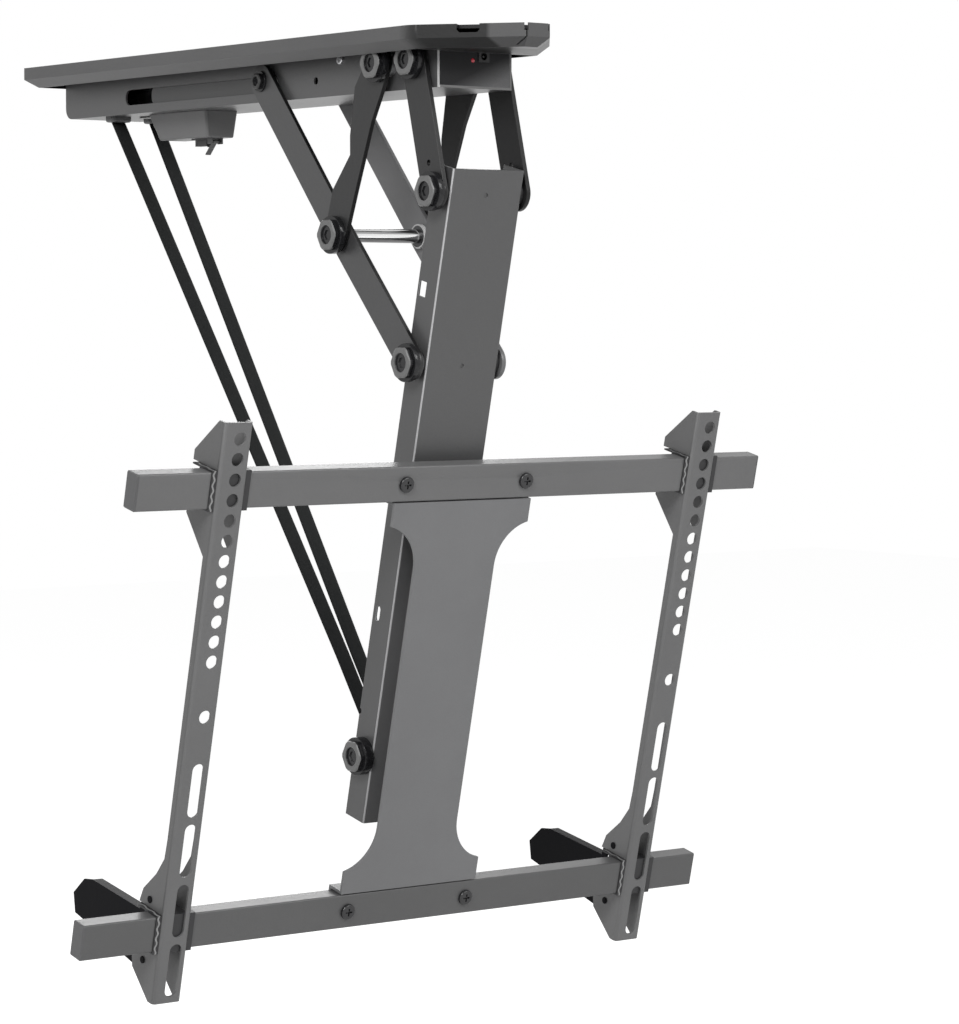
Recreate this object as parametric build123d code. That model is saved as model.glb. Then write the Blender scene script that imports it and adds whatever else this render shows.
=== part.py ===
from build123d import *
import math
import os

# Motorized ceiling mount that swings a flat screen down from the ceiling.
# Frame: +Z up, ceiling face at z = 0, +X across, -Y towards the nose of the cover.
# The origin is the centre of the ceiling bolt pattern. Lengths are millimetres.

# Clearances
run_fit = 0.08
snug_fit = 0.05
side_gap = 0.3
slide_gap = 0.25
wall_gap = 0.5

# Ceiling plate and its holes
plate_t = 3.0
bolt_x = 52.0
bolt_y = 200.0
bolt_hole_r = 4.5
inner_bolt_y = 110.0
plate_screw_x = 42.8
plate_screw_r = 2.5
plate_screw_spacing = 150.0
plate_screw_count = 4

# Cover shell round the ceiling plate
cover_half_w = 72.0
cover_rear_y = 285.0
cover_shoulder_y = -330.0
nose_y = -407.0
nose_half_w = 11.4
cover_t = 1.5
lip_h = 11.0
cover_h = 18.5
chamfer_in = 10.0
shoulder_r = 18.0
nose_slit = 3.0
nose_slit_h = 6.0
seam_w = 1.3
cable_notch_w = 19.0
cable_notch_h = 7.0
cable_room = 10.0
clip_w = 15.0
clip_t = 1.2
clip_leg = 14.0
clip_spacing = 180.0

# Channel that carries the linkage
channel_half_w = 38.0
channel_t = 2.0
channel_h = 48.0
channel_front_y = -322.7
channel_rear_y = 266.0
channel_corner_r = 10.0
flange_half_w = 47.0
flange_front_y = -310.0
flange_rear_y = 255.0
slot_front_y = -92.0
slot_rear_y = 159.0
slot_z = -33.0
slot_h = 14.0
side_hole_y = -149.0
side_hole_z = -33.8
side_hole_r = 3.2
side_screw_y = -186.0
side_screw_z = -18.0
side_screw_r = 2.0

# Front end plate, power inlet, lamp and control board
end_plate_t = 1.5
end_lip = 10.0
jack_x = 9.0
jack_z = -21.5
jack_w = 11.0
jack_h = 9.0
jack_depth = 14.0
jack_bore_r = 3.0
jack_pin_r = 1.0
led_x = -2.0
led_z = -25.0
led_r = 1.8
board_w = 56.0
board_length = 72.0
board_t = 1.6
board_drop = 7.4
board_front_y = -316.0
relay_w = 12.0
relay_h = 5.0
can_r = 3.5
can_h = 9.0
board_post_r = 2.5
board_post_in = 5.0

# Linkage pivots at rest, as (y, z) of each axis
rocker_pivot = (-256.4, -25.3)
front_pivot = (-297.1, -24.7)
slide_pin = (-74.4, -30.5)
mid_pivot = (-193.1, -165.5)

# Screen frame: leans back by its tilt about the top edge of its upper tube
frame_y = -314.8
frame_z = -356.3
frame_tilt = 13.18
arm_pivot_depth = 41.0
arm_top_pivot_up = 220.2
arm_mid_pivot_up = 77.0
strap_axle_down = 264.5

# Linkage bars, bolts and caps
link_t = 4.0
link_w = 29.0
front_link_w = 30.0
link_offset = 2.5
rocker_offset = 1.0
rocker_end_r = 14.0
rocker_rear_upper = [(20.0, 0.0), (34.0, -18.0), (41.0, -58.0), (41.0, -74.0)]
rocker_rear_lower = [(3.0, 38.0), (14.0, 5.0)]
rocker_front_lower = [(-14.0, -3.0), (-30.0, 37.0)]
rocker_front_upper = [(10.0, -47.0), (-4.0, -23.0), (-13.6, -3.0), (0.0, 13.0)]
pin_r = 5.0
spacer_r = 11.0
washer_r = 16.0
washer_t = 5.2
cap_r = 13.6
cap_t = 4.5
counterbore_r = 8.0
counterbore_depth = 1.9
socket_r = 4.6
socket_depth = 3.0
retainer_r = 9.0
retainer_t = 3.0
nut_r = 9.0
nut_t = 5.0
slide_pin_r = 3.5
slide_washer_r = 9.0
slide_washer_t = 2.0
slide_cap_r = 7.2
slide_cap_t = 4.0
mid_shaft_r = 6.0
mid_bush_r = 10.5
mid_bush_t = 3.6
link_hole_r = 2.5
link_hole_inset = 24.0

# Slide bars behind the channel slots
slide_bar_t = 2.4
slide_bar_h = 22.0
slide_bar_front_y = -110.0
slide_bar_rear_y = 118.0
track_h = 1.75
track_t = 3.0

# Winch inside the channel
drum_y = 236.0
drum_z = -25.0
drum_shaft_r = 4.0
drum_core_r = 7.0
drum_coil_r = 12.0
drum_flange_r = 15.5
drum_flange_t = 1.2
bearing_r = 6.5
bearing_plate_t = 2.5
bearing_plate_w = 24.0
gearbox_half_w = 10.8
gearbox_front_y = 216.0
gearbox_rear_y = 256.0
gearbox_top_z = -8.0
motor_r = 15.0
motor_front_y = 62.0
motor_z = -25.0
saddle_w = 26.0
saddle_length = 20.0
saddle_inset = 28.0

# Lifting straps
strap_w = 15.0
strap_t = 1.5
strap_top_x = 20.6
strap_bottom_x = 8.0
guide_y = 200.0
guide_w = 22.0
guide_length = 16.0
guide_h = 5.0
guide_slot_w = 16.5
guide_slot_length = 8.0
roller_r = 8.2
roller_half_w = 16.5
roller_flange_r = 10.4
roller_flange_t = 1.5
axle_r = 5.0
axle_washer_t = 8.5

# Switch box under the channel
box_half_w = 17.5
box_h = 24.0
box_front_y = 55.0
box_rear_y = 153.0
box_rear_slope = 14.0
box_front_slope = 2.0
box_side_slope = 3.0
box_corner_r = 3.0
box_t = 1.5
box_tab_w = 16.0
box_tab_length = 30.0
lever_pin_y = 67.0
lever_pin_drop = 3.2
lever_pin_r = 1.2
lever_half_w = 2.5
lever_length = 16.2
lever_t = 1.2
lever_slope = 44.0
bracket_half_w = 6.0
bracket_t = 1.2
bracket_front_y = 63.0
bracket_rear_y = 97.0
switch_length = 19.0
switch_half_w = 3.2
switch_h = 5.8
switch_front_y = 76.0

# Arm channel, in the leaning frame
arm_inset = 1.5
arm_t = 2.0
arm_front_depth = 28.0
arm_rear_depth = 54.5
arm_up = 241.5
arm_down = 321.0
arm_dimple_r = 2.0
arm_dimple_depth = 1.0
window_depth = 48.0
window_w = 10.0
window_h = 13.0
window_up = 137.5
side_slot_down = 141.0
side_slot_h = 6.0
side_notch_down = 229.0
side_notch_r = 2.5

# Cross tubes, in the leaning frame
tube_half_length = 318.0
tube_h = 30.0
tube_depth = 16.0
tube_wall = 1.5
tube_spacing = 372.0
tube_screw_x = 61.75
tube_screw_r = 3.0
tube_screw_head_r = 6.7
tube_screw_head_h = 2.8
end_cap_t = 2.0
end_cap_plug = 12.0
end_cap_edge = 0.8

# Screen plate between the tubes
face_half_w = 70.5
face_t = 2.5
plate_gap = 0.9
waist_half_w = 41.3
waist_r = 38.0
waist_from_tube = 58.0
plate_lip_h = 26.0

# Screen rails, their hooks and back brackets
rail_left_x = -234.0
rail_right_x = 252.0
rail_half_w = 13.6
rail_t = 2.0
rail_bend_r = 3.2
rail_gap = 1.0
rail_up = 41.0
rail_below_tube = 75.0
rail_flange = 5.0
rail_hole_x = 2.4
rail_hole_r = 5.5
rail_hole_spacing = 16.667
rail_hole_count = 12
rail_first_hole_up = 27.5
rail_single_hole_down = 202.0
rail_slot_first_down = 264.3
rail_slot_spacing = 51.5
rail_slot_length = 45.5
rail_slot_count = 4
hook_depth = 35.0
hook_rise = 10.0
hook_drop = 12.0
hook_slope = 40.0
low_hook_depth = 35.5
low_hook_rise = 14.0
low_hook_slope = 32.0
low_hook_drop = 25.0
liner_t = 1.5
liner_side = 4.8
liner_depth = 28.0
claw_t = 2.0
claw_root = 8.0
claw_reach = 138.0
claw_top_length = 68.0
claw_top_drop = 8.0
claw_end_rise = 14.0
claw_end_drop = 16.0
claw_strip = 10.0
rivet_depth = 19.0
rivet_r = 3.0
rivet_head = 1.0

# Planes across the width, worked out from the sizes above
link_in = channel_half_w + link_offset
link_out = link_in + link_t
rocker_in = link_out + rocker_offset
rocker_out = rocker_in + link_t
bar_out = channel_half_w - channel_t - wall_gap
bar_in = bar_out - slide_bar_t
arm_half_w = channel_half_w - arm_inset
guide_z = -channel_h - guide_h - wall_gap
deck_z = -channel_h + channel_t
box_bottom_z = -channel_h - box_h
tube_gap = tube_spacing - tube_h
lip_rear = tube_depth + face_t
rail_down = tube_spacing + rail_below_tube

parts = {}


def pair(shape):
    """The shape and its mirror image on the other side of the middle plane."""
    return [shape, mirror(shape, about=Plane.YZ)]


def flat_plate(points, x_start, thickness):
    """Plate across X with an outline of (y, z) corners."""
    outline = make_face(Polyline(*points, close=True))
    return extrude(Plane.YZ.offset(x_start) * outline, amount=thickness, dir=(1, 0, 0))


def disc(centre, radius, x_start, x_end):
    """Cylinder along X about a (y, z) centre."""
    place = Pos((x_start + x_end) / 2, centre[0], centre[1]) * Rot(0, 90, 0)
    return place * Cylinder(radius, abs(x_end - x_start))


def ring(centre, outer, inner, x_start, x_end):
    """Tube along X about a (y, z) centre."""
    return disc(centre, outer, x_start, x_end) - disc(centre, inner, x_start - 1, x_end + 1)


def block(x_range, y_range, z_range):
    """Box between two values on each axis."""
    size = [abs(r[1] - r[0]) for r in (x_range, y_range, z_range)]
    middle = [(r[0] + r[1]) / 2 for r in (x_range, y_range, z_range)]
    return Pos(*middle) * Box(*size)


def bar(start, end, width, x_start, thickness):
    """Flat bar with round ends between two (y, z) pivots."""
    run = (end[0] - start[0], end[1] - start[1])
    middle = ((start[0] + end[0]) / 2, (start[1] + end[1]) / 2)
    slope = math.degrees(math.atan2(run[1], run[0]))
    outline = Pos(*middle) * Rot(0, 0, slope) * SlotCenterToCenter(math.hypot(*run), width)
    return extrude(Plane.YZ.offset(x_start) * outline, amount=thickness, dir=(1, 0, 0))


def hex_disc(centre, radius, x_start, x_end):
    """Hexagonal prism along X."""
    outline = Pos(*centre) * RegularPolygon(radius, 6)
    return extrude(Plane.YZ.offset(x_start) * outline, amount=x_end - x_start, dir=(1, 0, 0))


def lean(depth, up):
    """World (y, z) of a point given by its depth and height in the leaning frame."""
    turn = math.radians(frame_tilt)
    y = frame_y + depth * math.cos(turn) - up * math.sin(turn)
    z = frame_z + depth * math.sin(turn) + up * math.cos(turn)
    return (y, z)


leaning = Pos(0, frame_y, frame_z) * Rot(frame_tilt, 0, 0)
arm_top_pivot = lean(arm_pivot_depth, arm_top_pivot_up)
arm_mid_pivot = lean(arm_pivot_depth, arm_mid_pivot_up)
strap_axle = lean(arm_pivot_depth, -strap_axle_down)


def pan_screw(head_r, head_h, shank_r, shank_length):
    """Cross-head pan screw along Z: the head stands on z = 0 and the shank hangs below."""
    head = Pos(0, 0, head_h / 2) * Cylinder(head_r, head_h)
    head = fillet(head.edges().group_by(Axis.Z)[-1], head_h * 0.45)
    for turn in (0, 90):
        head -= Pos(0, 0, head_h) * Rot(0, 0, turn) * Box(head_r, head_r * 0.22, head_h)
    return head + Pos(0, 0, -shank_length / 2) * Cylinder(shank_r, shank_length)


def cap_bolt(centre, x_tip, x_head, shank_r, head_r, head_t):
    """Shoulder bolt along X: its shank starts at x_tip and its socket cap at x_head."""
    top = x_head + head_t
    crown = hex_disc(centre, head_r * 1.07, x_head, top) & disc(centre, head_r, x_head, top)
    head = chamfer(crown.edges().group_by(Axis.X)[-1], head_t * 0.25)
    scale = head_r / cap_r
    head -= disc(centre, counterbore_r * scale, top - counterbore_depth, top + 1)
    head -= hex_disc(centre, socket_r * scale, top - min(socket_depth, head_t * 0.75), top)
    return head + disc(centre, shank_r, x_tip, x_head)


def pivot_caps(centre, x_tip, x_seat, thickness):
    """Washer and socket cap on the -X side of a pivot, and a low round head on its +X side."""
    washer = ring(centre, washer_r, pin_r + snug_fit, x_seat, x_seat + thickness)
    bolt = cap_bolt(centre, x_tip, x_seat + thickness, pin_r, cap_r, cap_t)
    head = disc(centre, retainer_r, x_seat, x_seat + retainer_t)
    head = chamfer(head.edges().group_by(Axis.X)[-1], retainer_t * 0.4)
    if x_tip < x_seat:
        head += disc(centre, pin_r, x_tip, x_seat)
    return [mirror(washer, about=Plane.YZ), mirror(bolt, about=Plane.YZ), head]


def cover_plan(inset):
    """Plan of the cover, drawn in by the inset on every side."""
    corners = [(-cover_half_w, cover_rear_y), (-cover_half_w, cover_shoulder_y), (-nose_half_w, nose_y)]
    corners += [(-x, y) for x, y in reversed(corners)]
    plan = make_face(Polyline(*corners, close=True))
    shoulders = plan.vertices().filter_by(lambda v: abs(v.Y - cover_shoulder_y) < 1)
    plan = fillet(shoulders, shoulder_r)
    if inset:
        plan = offset(plan, amount=-inset, kind=Kind.INTERSECTION)
    return plan


def ceiling_plate():
    """Steel plate that is bolted to the joists."""
    front = nose_y + chamfer_in * 2 + wall_gap
    plate = extrude(cover_plan(cover_t + wall_gap), amount=-plate_t)
    plate -= block((-cover_half_w, cover_half_w), (nose_y, front), (-plate_t - 1, 1))
    plate -= notch_block(cable_notch_w + 2 * wall_gap, cable_room, plate_t * 2)
    for x in (-bolt_x, bolt_x):
        for y in (-bolt_y, -inner_bolt_y, inner_bolt_y, bolt_y):
            plate -= Pos(x, y, -plate_t / 2) * Cylinder(bolt_hole_r, plate_t * 2)
    for x, y in plate_screw_places():
        plate -= Pos(x, y, -plate_t / 2) * Cylinder(plate_screw_r, plate_t * 2)
    return plate


def plate_screw_places():
    """Places of the screws that hold the channel flanges to the ceiling plate."""
    first = -plate_screw_spacing * (plate_screw_count - 1) / 2
    rows = [first + plate_screw_spacing * i for i in range(plate_screw_count)]
    return [(x, y) for x in (-plate_screw_x, plate_screw_x) for y in rows]


def ceiling_cover():
    """Shell with a straight lip, a sloping skirt and a pointed nose."""
    lip = extrude(cover_plan(0), amount=-lip_h)
    edge = Pos(0, 0, -cover_h) * cover_plan(chamfer_in)
    shell = lip + loft([Pos(0, 0, -lip_h) * cover_plan(0), edge], ruled=True)
    inside = extrude(cover_plan(cover_t), amount=-lip_h)
    low = Pos(0, 0, -cover_h) * cover_plan(chamfer_in + cover_t)
    shell -= inside + loft([Pos(0, 0, -lip_h) * cover_plan(cover_t), low], ruled=True)
    behind_nose = (channel_front_y - 2 * wall_gap, cover_rear_y)
    rear_part = block((-cover_half_w, cover_half_w), behind_nose, (-cover_h - 1, 1))
    shell += extrude(edge, amount=cover_t) - rear_part
    return shell - nose_cuts() - cable_notch()


def nose_cuts():
    """Slits and seams at both corners of the nose flap."""
    cuts = Part()
    for x in (-nose_half_w, nose_half_w):
        reach = (nose_y - 1, nose_y + chamfer_in * 2)
        cuts += block((x - nose_slit / 2, x + nose_slit / 2), reach, (-nose_slit_h, 1))
        cuts += block((x - seam_w / 2, x + seam_w / 2), reach, (-cover_h + cover_t, 1))
    return cuts


def notch_block(width, room, depth):
    """Block across the middle of the left slope of the nose, at the ceiling face."""
    run = (cover_half_w - nose_half_w, nose_y - cover_shoulder_y)
    middle = (-(cover_half_w + nose_half_w) / 2, (cover_shoulder_y + nose_y) / 2)
    turn = math.degrees(math.atan2(run[1], run[0]))
    notch = Box(width, room * 2, depth * 2)
    notch = chamfer(notch.edges().filter_by(Axis.Y).group_by(Axis.Z)[0], depth * 0.3)
    return Pos(*middle, 0) * Rot(0, 0, turn) * notch


def cable_notch():
    """Notch in the top edge of the left slope of the nose, for the supply cable."""
    return notch_block(cable_notch_w, cover_t * 3, cable_notch_h)


def cover_clips():
    """Angle clips under the plate that the cover lip snaps over."""
    outer = cover_half_w - cover_t - side_gap
    clips = []
    for y in (-clip_spacing, 0, clip_spacing):
        wide = (y - clip_w / 2, y + clip_w / 2)
        clip = block((outer - clip_leg, outer), wide, (-plate_t - clip_t, -plate_t))
        clip += block((outer - clip_t, outer), wide, (-lip_h + clip_t, -plate_t))
        clips += pair(clip)
    return clips


def channel_profile(inset):
    """Side view of the channel: open in front, with a round lower rear corner."""
    corner = channel_corner_r - inset
    low = -channel_h + inset
    rear = channel_rear_y - inset
    front = channel_front_y - inset
    points = [(front, -plate_t), (front, low), (rear - corner, low)]
    edges = [Line(points[0], points[1]), Line(points[1], points[2])]
    edges += [RadiusArc(points[2], (rear, low + corner), -corner)]
    edges += [Line((rear, low + corner), (rear, -plate_t)), Line((rear, -plate_t), points[0])]
    return make_face(Curve() + edges)


def channel():
    """Folded steel channel with side slots, hung under the ceiling plate."""
    inner_w = channel_half_w - channel_t
    solid = extrude(Plane.YZ * channel_profile(0), amount=channel_half_w, both=True)
    solid -= extrude(Plane.YZ * channel_profile(channel_t), amount=inner_w, both=True)
    for side in (-1, 1):
        edge = (side * inner_w, side * flange_half_w)
        solid += block(edge, (flange_front_y, flange_rear_y), (-plate_t - channel_t, -plate_t))
    for x, y in plate_screw_places():
        solid -= Pos(x, y, -plate_t - channel_t / 2) * Cylinder(plate_screw_r, channel_t * 2)
    solid -= side_openings() + floor_openings()
    return solid


def side_openings():
    """Slots, pivot holes and small holes through both channel walls."""
    wide = channel_half_w + 1
    length = slot_rear_y - slot_front_y
    slot = Pos((slot_front_y + slot_rear_y) / 2, slot_z) * SlotOverall(length, slot_h)
    cuts = extrude(Plane.YZ * slot, amount=wide, both=True)
    for centre in (rocker_pivot, front_pivot):
        cuts += disc(centre, pin_r + snug_fit, -wide, wide)
    cuts += disc((side_hole_y, side_hole_z), side_hole_r, -wide, wide)
    cuts += disc((side_screw_y, side_screw_z), side_screw_r + snug_fit, -wide, wide)
    return cuts


def floor_openings():
    """Strap openings and the wiring hole in the channel floor."""
    cuts = Pos(0, (box_front_y + box_rear_y) / 2, deck_z) * Cylinder(bolt_hole_r, channel_t * 4)
    for x in (-strap_top_x, strap_top_x):
        place = (guide_y - guide_slot_length / 2, guide_y + guide_slot_length / 2)
        cuts += block((x - guide_slot_w / 2, x + guide_slot_w / 2), place, (-channel_h - 1, deck_z + 1))
    return cuts


def plate_screws():
    """Screws that clamp the channel flanges under the ceiling plate."""
    seat = -plate_t - channel_t
    screw = pan_screw(plate_screw_r * 1.8, plate_screw_r, plate_screw_r - snug_fit, plate_t + channel_t)
    return [Pos(x, y, seat) * Rot(180, 0, 0) * screw for x, y in plate_screw_places()]


def side_screws():
    """Pan screws in the channel walls, with the blocks that they hold inside."""
    head_h = link_offset - side_gap
    screw = pan_screw(side_screw_r * 2, head_h, side_screw_r, channel_t + 6)
    return pair(Pos(channel_half_w, side_screw_y, side_screw_z) * Rot(0, 90, 0) * screw)


def screw_blocks():
    """Threaded blocks behind the side screws, fixed under the ceiling plate."""
    inner = channel_half_w - channel_t
    size = side_screw_r * 4
    reach = (side_screw_y - size / 2, side_screw_y + size / 2)
    solid = block((inner - size, inner), reach, (side_screw_z - size / 2, -plate_t))
    solid -= disc((side_screw_y, side_screw_z), side_screw_r + snug_fit, inner - size - 1, inner + 1)
    return pair(solid)


def end_plate():
    """Front end plate with a folded foot, an inlet hole and a lamp hole."""
    half_w = channel_half_w - channel_t - slide_gap
    face_y = channel_front_y + end_plate_t
    solid = block((-half_w, half_w), (channel_front_y, face_y), (deck_z, -plate_t - channel_t))
    solid += block((-half_w, half_w), (channel_front_y, face_y + end_lip), (deck_z, deck_z + end_plate_t))
    hole_w = jack_w / 2 + snug_fit
    hole_h = jack_h / 2 + snug_fit
    through = (channel_front_y - 1, face_y + 1)
    solid -= block((jack_x - hole_w, jack_x + hole_w), through, (jack_z - hole_h, jack_z + hole_h))
    return solid - Pos(led_x, face_y, led_z) * Rot(90, 0, 0) * Cylinder(led_r + snug_fit, end_plate_t * 4)


def dc_jack():
    """Barrel power inlet."""
    front = channel_front_y - end_plate_t / 2
    x_range = (jack_x - jack_w / 2, jack_x + jack_w / 2)
    body = block(x_range, (front, front + jack_depth), (jack_z - jack_h / 2, jack_z + jack_h / 2))
    bore = Pos(jack_x, front, jack_z) * Rot(90, 0, 0) * Cylinder(jack_bore_r, jack_depth * 1.4)
    pin = Pos(jack_x, front + jack_depth / 2, jack_z) * Rot(90, 0, 0) * Cylinder(jack_pin_r, jack_depth - 2)
    return body - bore + pin


def led_lens():
    """Domed lens of the power lamp."""
    stem = Pos(led_x, channel_front_y + end_plate_t, led_z) * Rot(90, 0, 0) * Cylinder(led_r, end_plate_t * 3)
    return fillet(stem.edges().group_by(Axis.Y)[0], led_r * 0.6)


def control_board():
    """Control board with its taller parts, hung under the ceiling plate."""
    top = -plate_t - board_drop
    y_range = (board_front_y, board_front_y + board_length)
    board = block((-board_w / 2, board_w / 2), y_range, (top - board_t, top))
    under = top - board_t
    relay_y = board_front_y + board_length * 0.72
    for x in (-board_w * 0.3, 0, board_w * 0.3):
        reach = (relay_y - relay_w / 2, relay_y + relay_w / 2)
        board += block((x - relay_w / 2, x + relay_w / 2), reach, (under - relay_h, under))
    for share in (0.25, 0.48):
        can = Pos(-board_w * 0.3, board_front_y + board_length * share, under - can_h / 2)
        board += can * Cylinder(can_r, can_h)
    for x, y in board_post_places():
        board -= Pos(x, y, top) * Cylinder(board_post_r / 2, board_t * 4)
    return board


def board_post_places():
    """Corners of the board that its posts stand on."""
    x = board_w / 2 - board_post_in
    rows = (board_front_y + board_post_in, board_front_y + board_length - board_post_in)
    return [(side * x, y) for side in (-1, 1) for y in rows]


def board_posts():
    """Posts between the ceiling plate and the control board."""
    post = Pos(0, 0, -plate_t - board_drop / 2) * Cylinder(board_post_r, board_drop)
    return [Pos(x, y, 0) * post for x, y in board_post_places()]


def ceiling_pivots():
    """Spacers, nuts, washers and cap bolts of the two pivots on each channel wall."""
    inner = channel_half_w - channel_t
    inside, bolts = [], []
    for centre, seat in ((rocker_pivot, rocker_in), (front_pivot, link_in)):
        tip = inner - nut_t
        nut = hex_disc(centre, nut_r, tip, inner) - disc(centre, pin_r + snug_fit, tip - 1, inner + 1)
        inside += pair(ring(centre, spacer_r, pin_r + snug_fit, channel_half_w, seat - side_gap))
        inside += pair(nut)
        bolts += pivot_caps(centre, tip, seat + link_t + side_gap, washer_t)
    parts["ceiling_pivot_spacers"] = inside
    parts["ceiling_pivot_bolts"] = bolts


def placed(offsets, centre):
    """Points at the given (y, z) offsets from a pivot."""
    return [(centre[0] + y, centre[1] + z) for y, z in offsets]


def rocker():
    """Rocker plate of the +X side, from the channel to the cross shaft."""
    top, low = rocker_pivot, mid_pivot
    rear = placed(rocker_rear_upper, top) + placed(rocker_rear_lower, low)
    front = placed(rocker_front_lower, low) + placed(rocker_front_upper, top)
    plate = flat_plate(rear + front, rocker_in, link_t)
    for centre in (top, low):
        plate += disc(centre, rocker_end_r, rocker_in, rocker_out)
    plate -= disc(top, pin_r + run_fit, rocker_in - 1, rocker_out + 1)
    return plate - disc(low, mid_shaft_r + snug_fit, rocker_in - 1, rocker_out + 1)


def mid_pivot_parts():
    """Chrome cross shaft, its bushes and the caps at its ends."""
    parts["mid_shaft"] = [disc(mid_pivot, mid_shaft_r, -rocker_out, rocker_out)]
    end = link_in - side_gap
    parts["mid_bushes"] = pair(ring(mid_pivot, mid_bush_r, mid_shaft_r + snug_fit, end - mid_bush_t, end))
    parts["mid_cap_bolts"] = pivot_caps(mid_pivot, rocker_out, rocker_out, washer_t)


def long_link():
    """Long link of the +X side, from the slot past the cross shaft to the arm."""
    plate = bar(slide_pin, mid_pivot, link_w, link_in, link_t)
    plate += bar(mid_pivot, arm_mid_pivot, link_w, link_in, link_t)
    plate -= disc(slide_pin, slide_pin_r + snug_fit, link_in - 1, link_out + 1)
    plate -= disc(mid_pivot, mid_shaft_r + run_fit, link_in - 1, link_out + 1)
    return plate - disc(arm_mid_pivot, pin_r + run_fit, link_in - 1, link_out + 1)


def slide_pins():
    """Pins that run in the channel slots, with their washers and caps."""
    tip = bar_out + side_gap
    washer = ring(slide_pin, slide_washer_r, slide_pin_r + snug_fit, link_out, link_out + slide_washer_t)
    seat = link_out + slide_washer_t
    pin = cap_bolt(slide_pin, tip, seat, slide_pin_r, slide_cap_r, slide_cap_t)
    parts["slide_pins"] = pair(washer) + pair(pin)


def slide_bar():
    """Bar that slides behind the slot of the +X side."""
    length = slide_bar_rear_y - slide_bar_front_y
    outline = Pos((slide_bar_front_y + slide_bar_rear_y) / 2, slot_z) * SlotOverall(length, slide_bar_h)
    return extrude(Plane.YZ.offset(bar_in) * outline, amount=slide_bar_t, dir=(1, 0, 0))


def slide_tracks():
    """Strips on the channel walls above and below the slide bars."""
    inner = channel_half_w - channel_t
    reach = (slide_bar_front_y, channel_rear_y - channel_corner_r)
    upper = slot_z + slide_bar_h / 2 + slide_gap
    lower = slot_z - slide_bar_h / 2 - slide_gap
    tracks = pair(block((inner - track_t, inner), reach, (upper, upper + track_h)))
    return tracks + pair(block((inner - track_t, inner), reach, (deck_z, lower)))


def front_link():
    """Front link of the +X side, from the channel to the top of the arm."""
    plate = bar(front_pivot, arm_top_pivot, front_link_w, link_in, link_t)
    run = (front_pivot[0] - arm_top_pivot[0], front_pivot[1] - arm_top_pivot[1])
    share = link_hole_inset / math.hypot(*run)
    spot = (arm_top_pivot[0] + run[0] * share, arm_top_pivot[1] + run[1] * share)
    plate -= disc(spot, link_hole_r, link_in - 1, link_out + 1)
    plate -= disc(arm_top_pivot, pin_r + snug_fit, link_in - 1, link_out + 1)
    return plate - disc(front_pivot, pin_r + run_fit, link_in - 1, link_out + 1)


def front_link_caps():
    """Bolts at the lower ends of the front links."""
    parts["front_link_bolts"] = pivot_caps(arm_top_pivot, link_in, link_out, washer_t)


def arm_channel():
    """Arm: a folded channel that is open to the rear."""
    inner = arm_half_w - arm_t
    solid = block((-arm_half_w, arm_half_w), (arm_front_depth, arm_rear_depth), (-arm_down, arm_up))
    solid = fillet(solid.edges().filter_by(Axis.Z).group_by(Axis.Y)[0], arm_t)
    hollow = (arm_front_depth + arm_t, arm_rear_depth + 1)
    solid -= block((-inner, inner), hollow, (-arm_down - 1, arm_up + 1))
    return leaning * (solid - arm_openings())


def arm_openings():
    """Holes in the web and the sides of the arm."""
    through = arm_half_w + 1
    cuts = Part()
    for up in (arm_top_pivot_up, arm_mid_pivot_up):
        cuts += Pos(0, arm_front_depth, up) * Rot(90, 0, 0) * Cylinder(arm_dimple_r, arm_dimple_depth * 2)
    for up in (arm_mid_pivot_up, -strap_axle_down):
        cuts += disc((arm_pivot_depth, up), pin_r + snug_fit, -through, through)
    window = (window_depth - window_w / 2, window_depth + window_w / 2)
    rise = (window_up - window_h / 2, window_up + window_h / 2)
    cuts += block((-through, through), window, rise)
    slot = Pos(window_depth, -side_slot_down) * Rot(0, 0, 90) * SlotOverall(window_h, side_slot_h)
    cuts += extrude(Plane.YZ * slot, amount=through, both=True)
    cuts += disc((arm_rear_depth, -side_notch_down), side_notch_r, -through, through)
    return cuts


def arm_pivot_parts():
    """Bosses, nuts, washers and cap bolts on the arm."""
    inner = arm_half_w - arm_t
    end = link_in - side_gap
    bosses = pair(ring(arm_top_pivot, spacer_r, pin_r, arm_half_w, end))
    bosses += pair(ring(arm_mid_pivot, spacer_r, pin_r + snug_fit, arm_half_w, end))
    tip = inner - nut_t
    nut = hex_disc(arm_mid_pivot, nut_r, tip, inner)
    nut -= disc(arm_mid_pivot, pin_r + snug_fit, tip - 1, inner + 1)
    parts["arm_bosses"] = bosses
    parts["arm_nuts"] = pair(nut) + tube_nuts()
    parts["arm_pivot_bolts"] = pivot_caps(arm_mid_pivot, tip, link_out + side_gap, washer_t)


def strap_axle_parts():
    """Axle of the strap roller with its spacers, washers and end caps."""
    inner = arm_half_w - arm_t
    parts["strap_axle"] = [disc(strap_axle, axle_r, -arm_half_w, arm_half_w)]
    start = roller_half_w + roller_flange_t + side_gap
    parts["axle_spacers"] = pair(ring(strap_axle, axle_r * 1.6, axle_r + snug_fit, start, inner))
    parts["axle_cap_bolts"] = pivot_caps(strap_axle, arm_half_w, arm_half_w, axle_washer_t)


def strap_roller():
    """Roller that both straps are wound round at the foot of the arm."""
    half = roller_half_w + roller_flange_t
    solid = disc(strap_axle, roller_r, -half, half)
    for side in (-1, 1):
        solid += disc(strap_axle, roller_flange_r, side * roller_half_w, side * half)
    return solid - disc(strap_axle, axle_r + run_fit, -half - 1, half + 1)


def strap_wraps():
    """Turn of each strap round the roller."""
    wrap = ring(strap_axle, roller_r + strap_t + snug_fit, roller_r + snug_fit, 0, strap_w)
    return pair(Pos(strap_bottom_x - strap_w / 2, 0, 0) * wrap)


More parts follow.
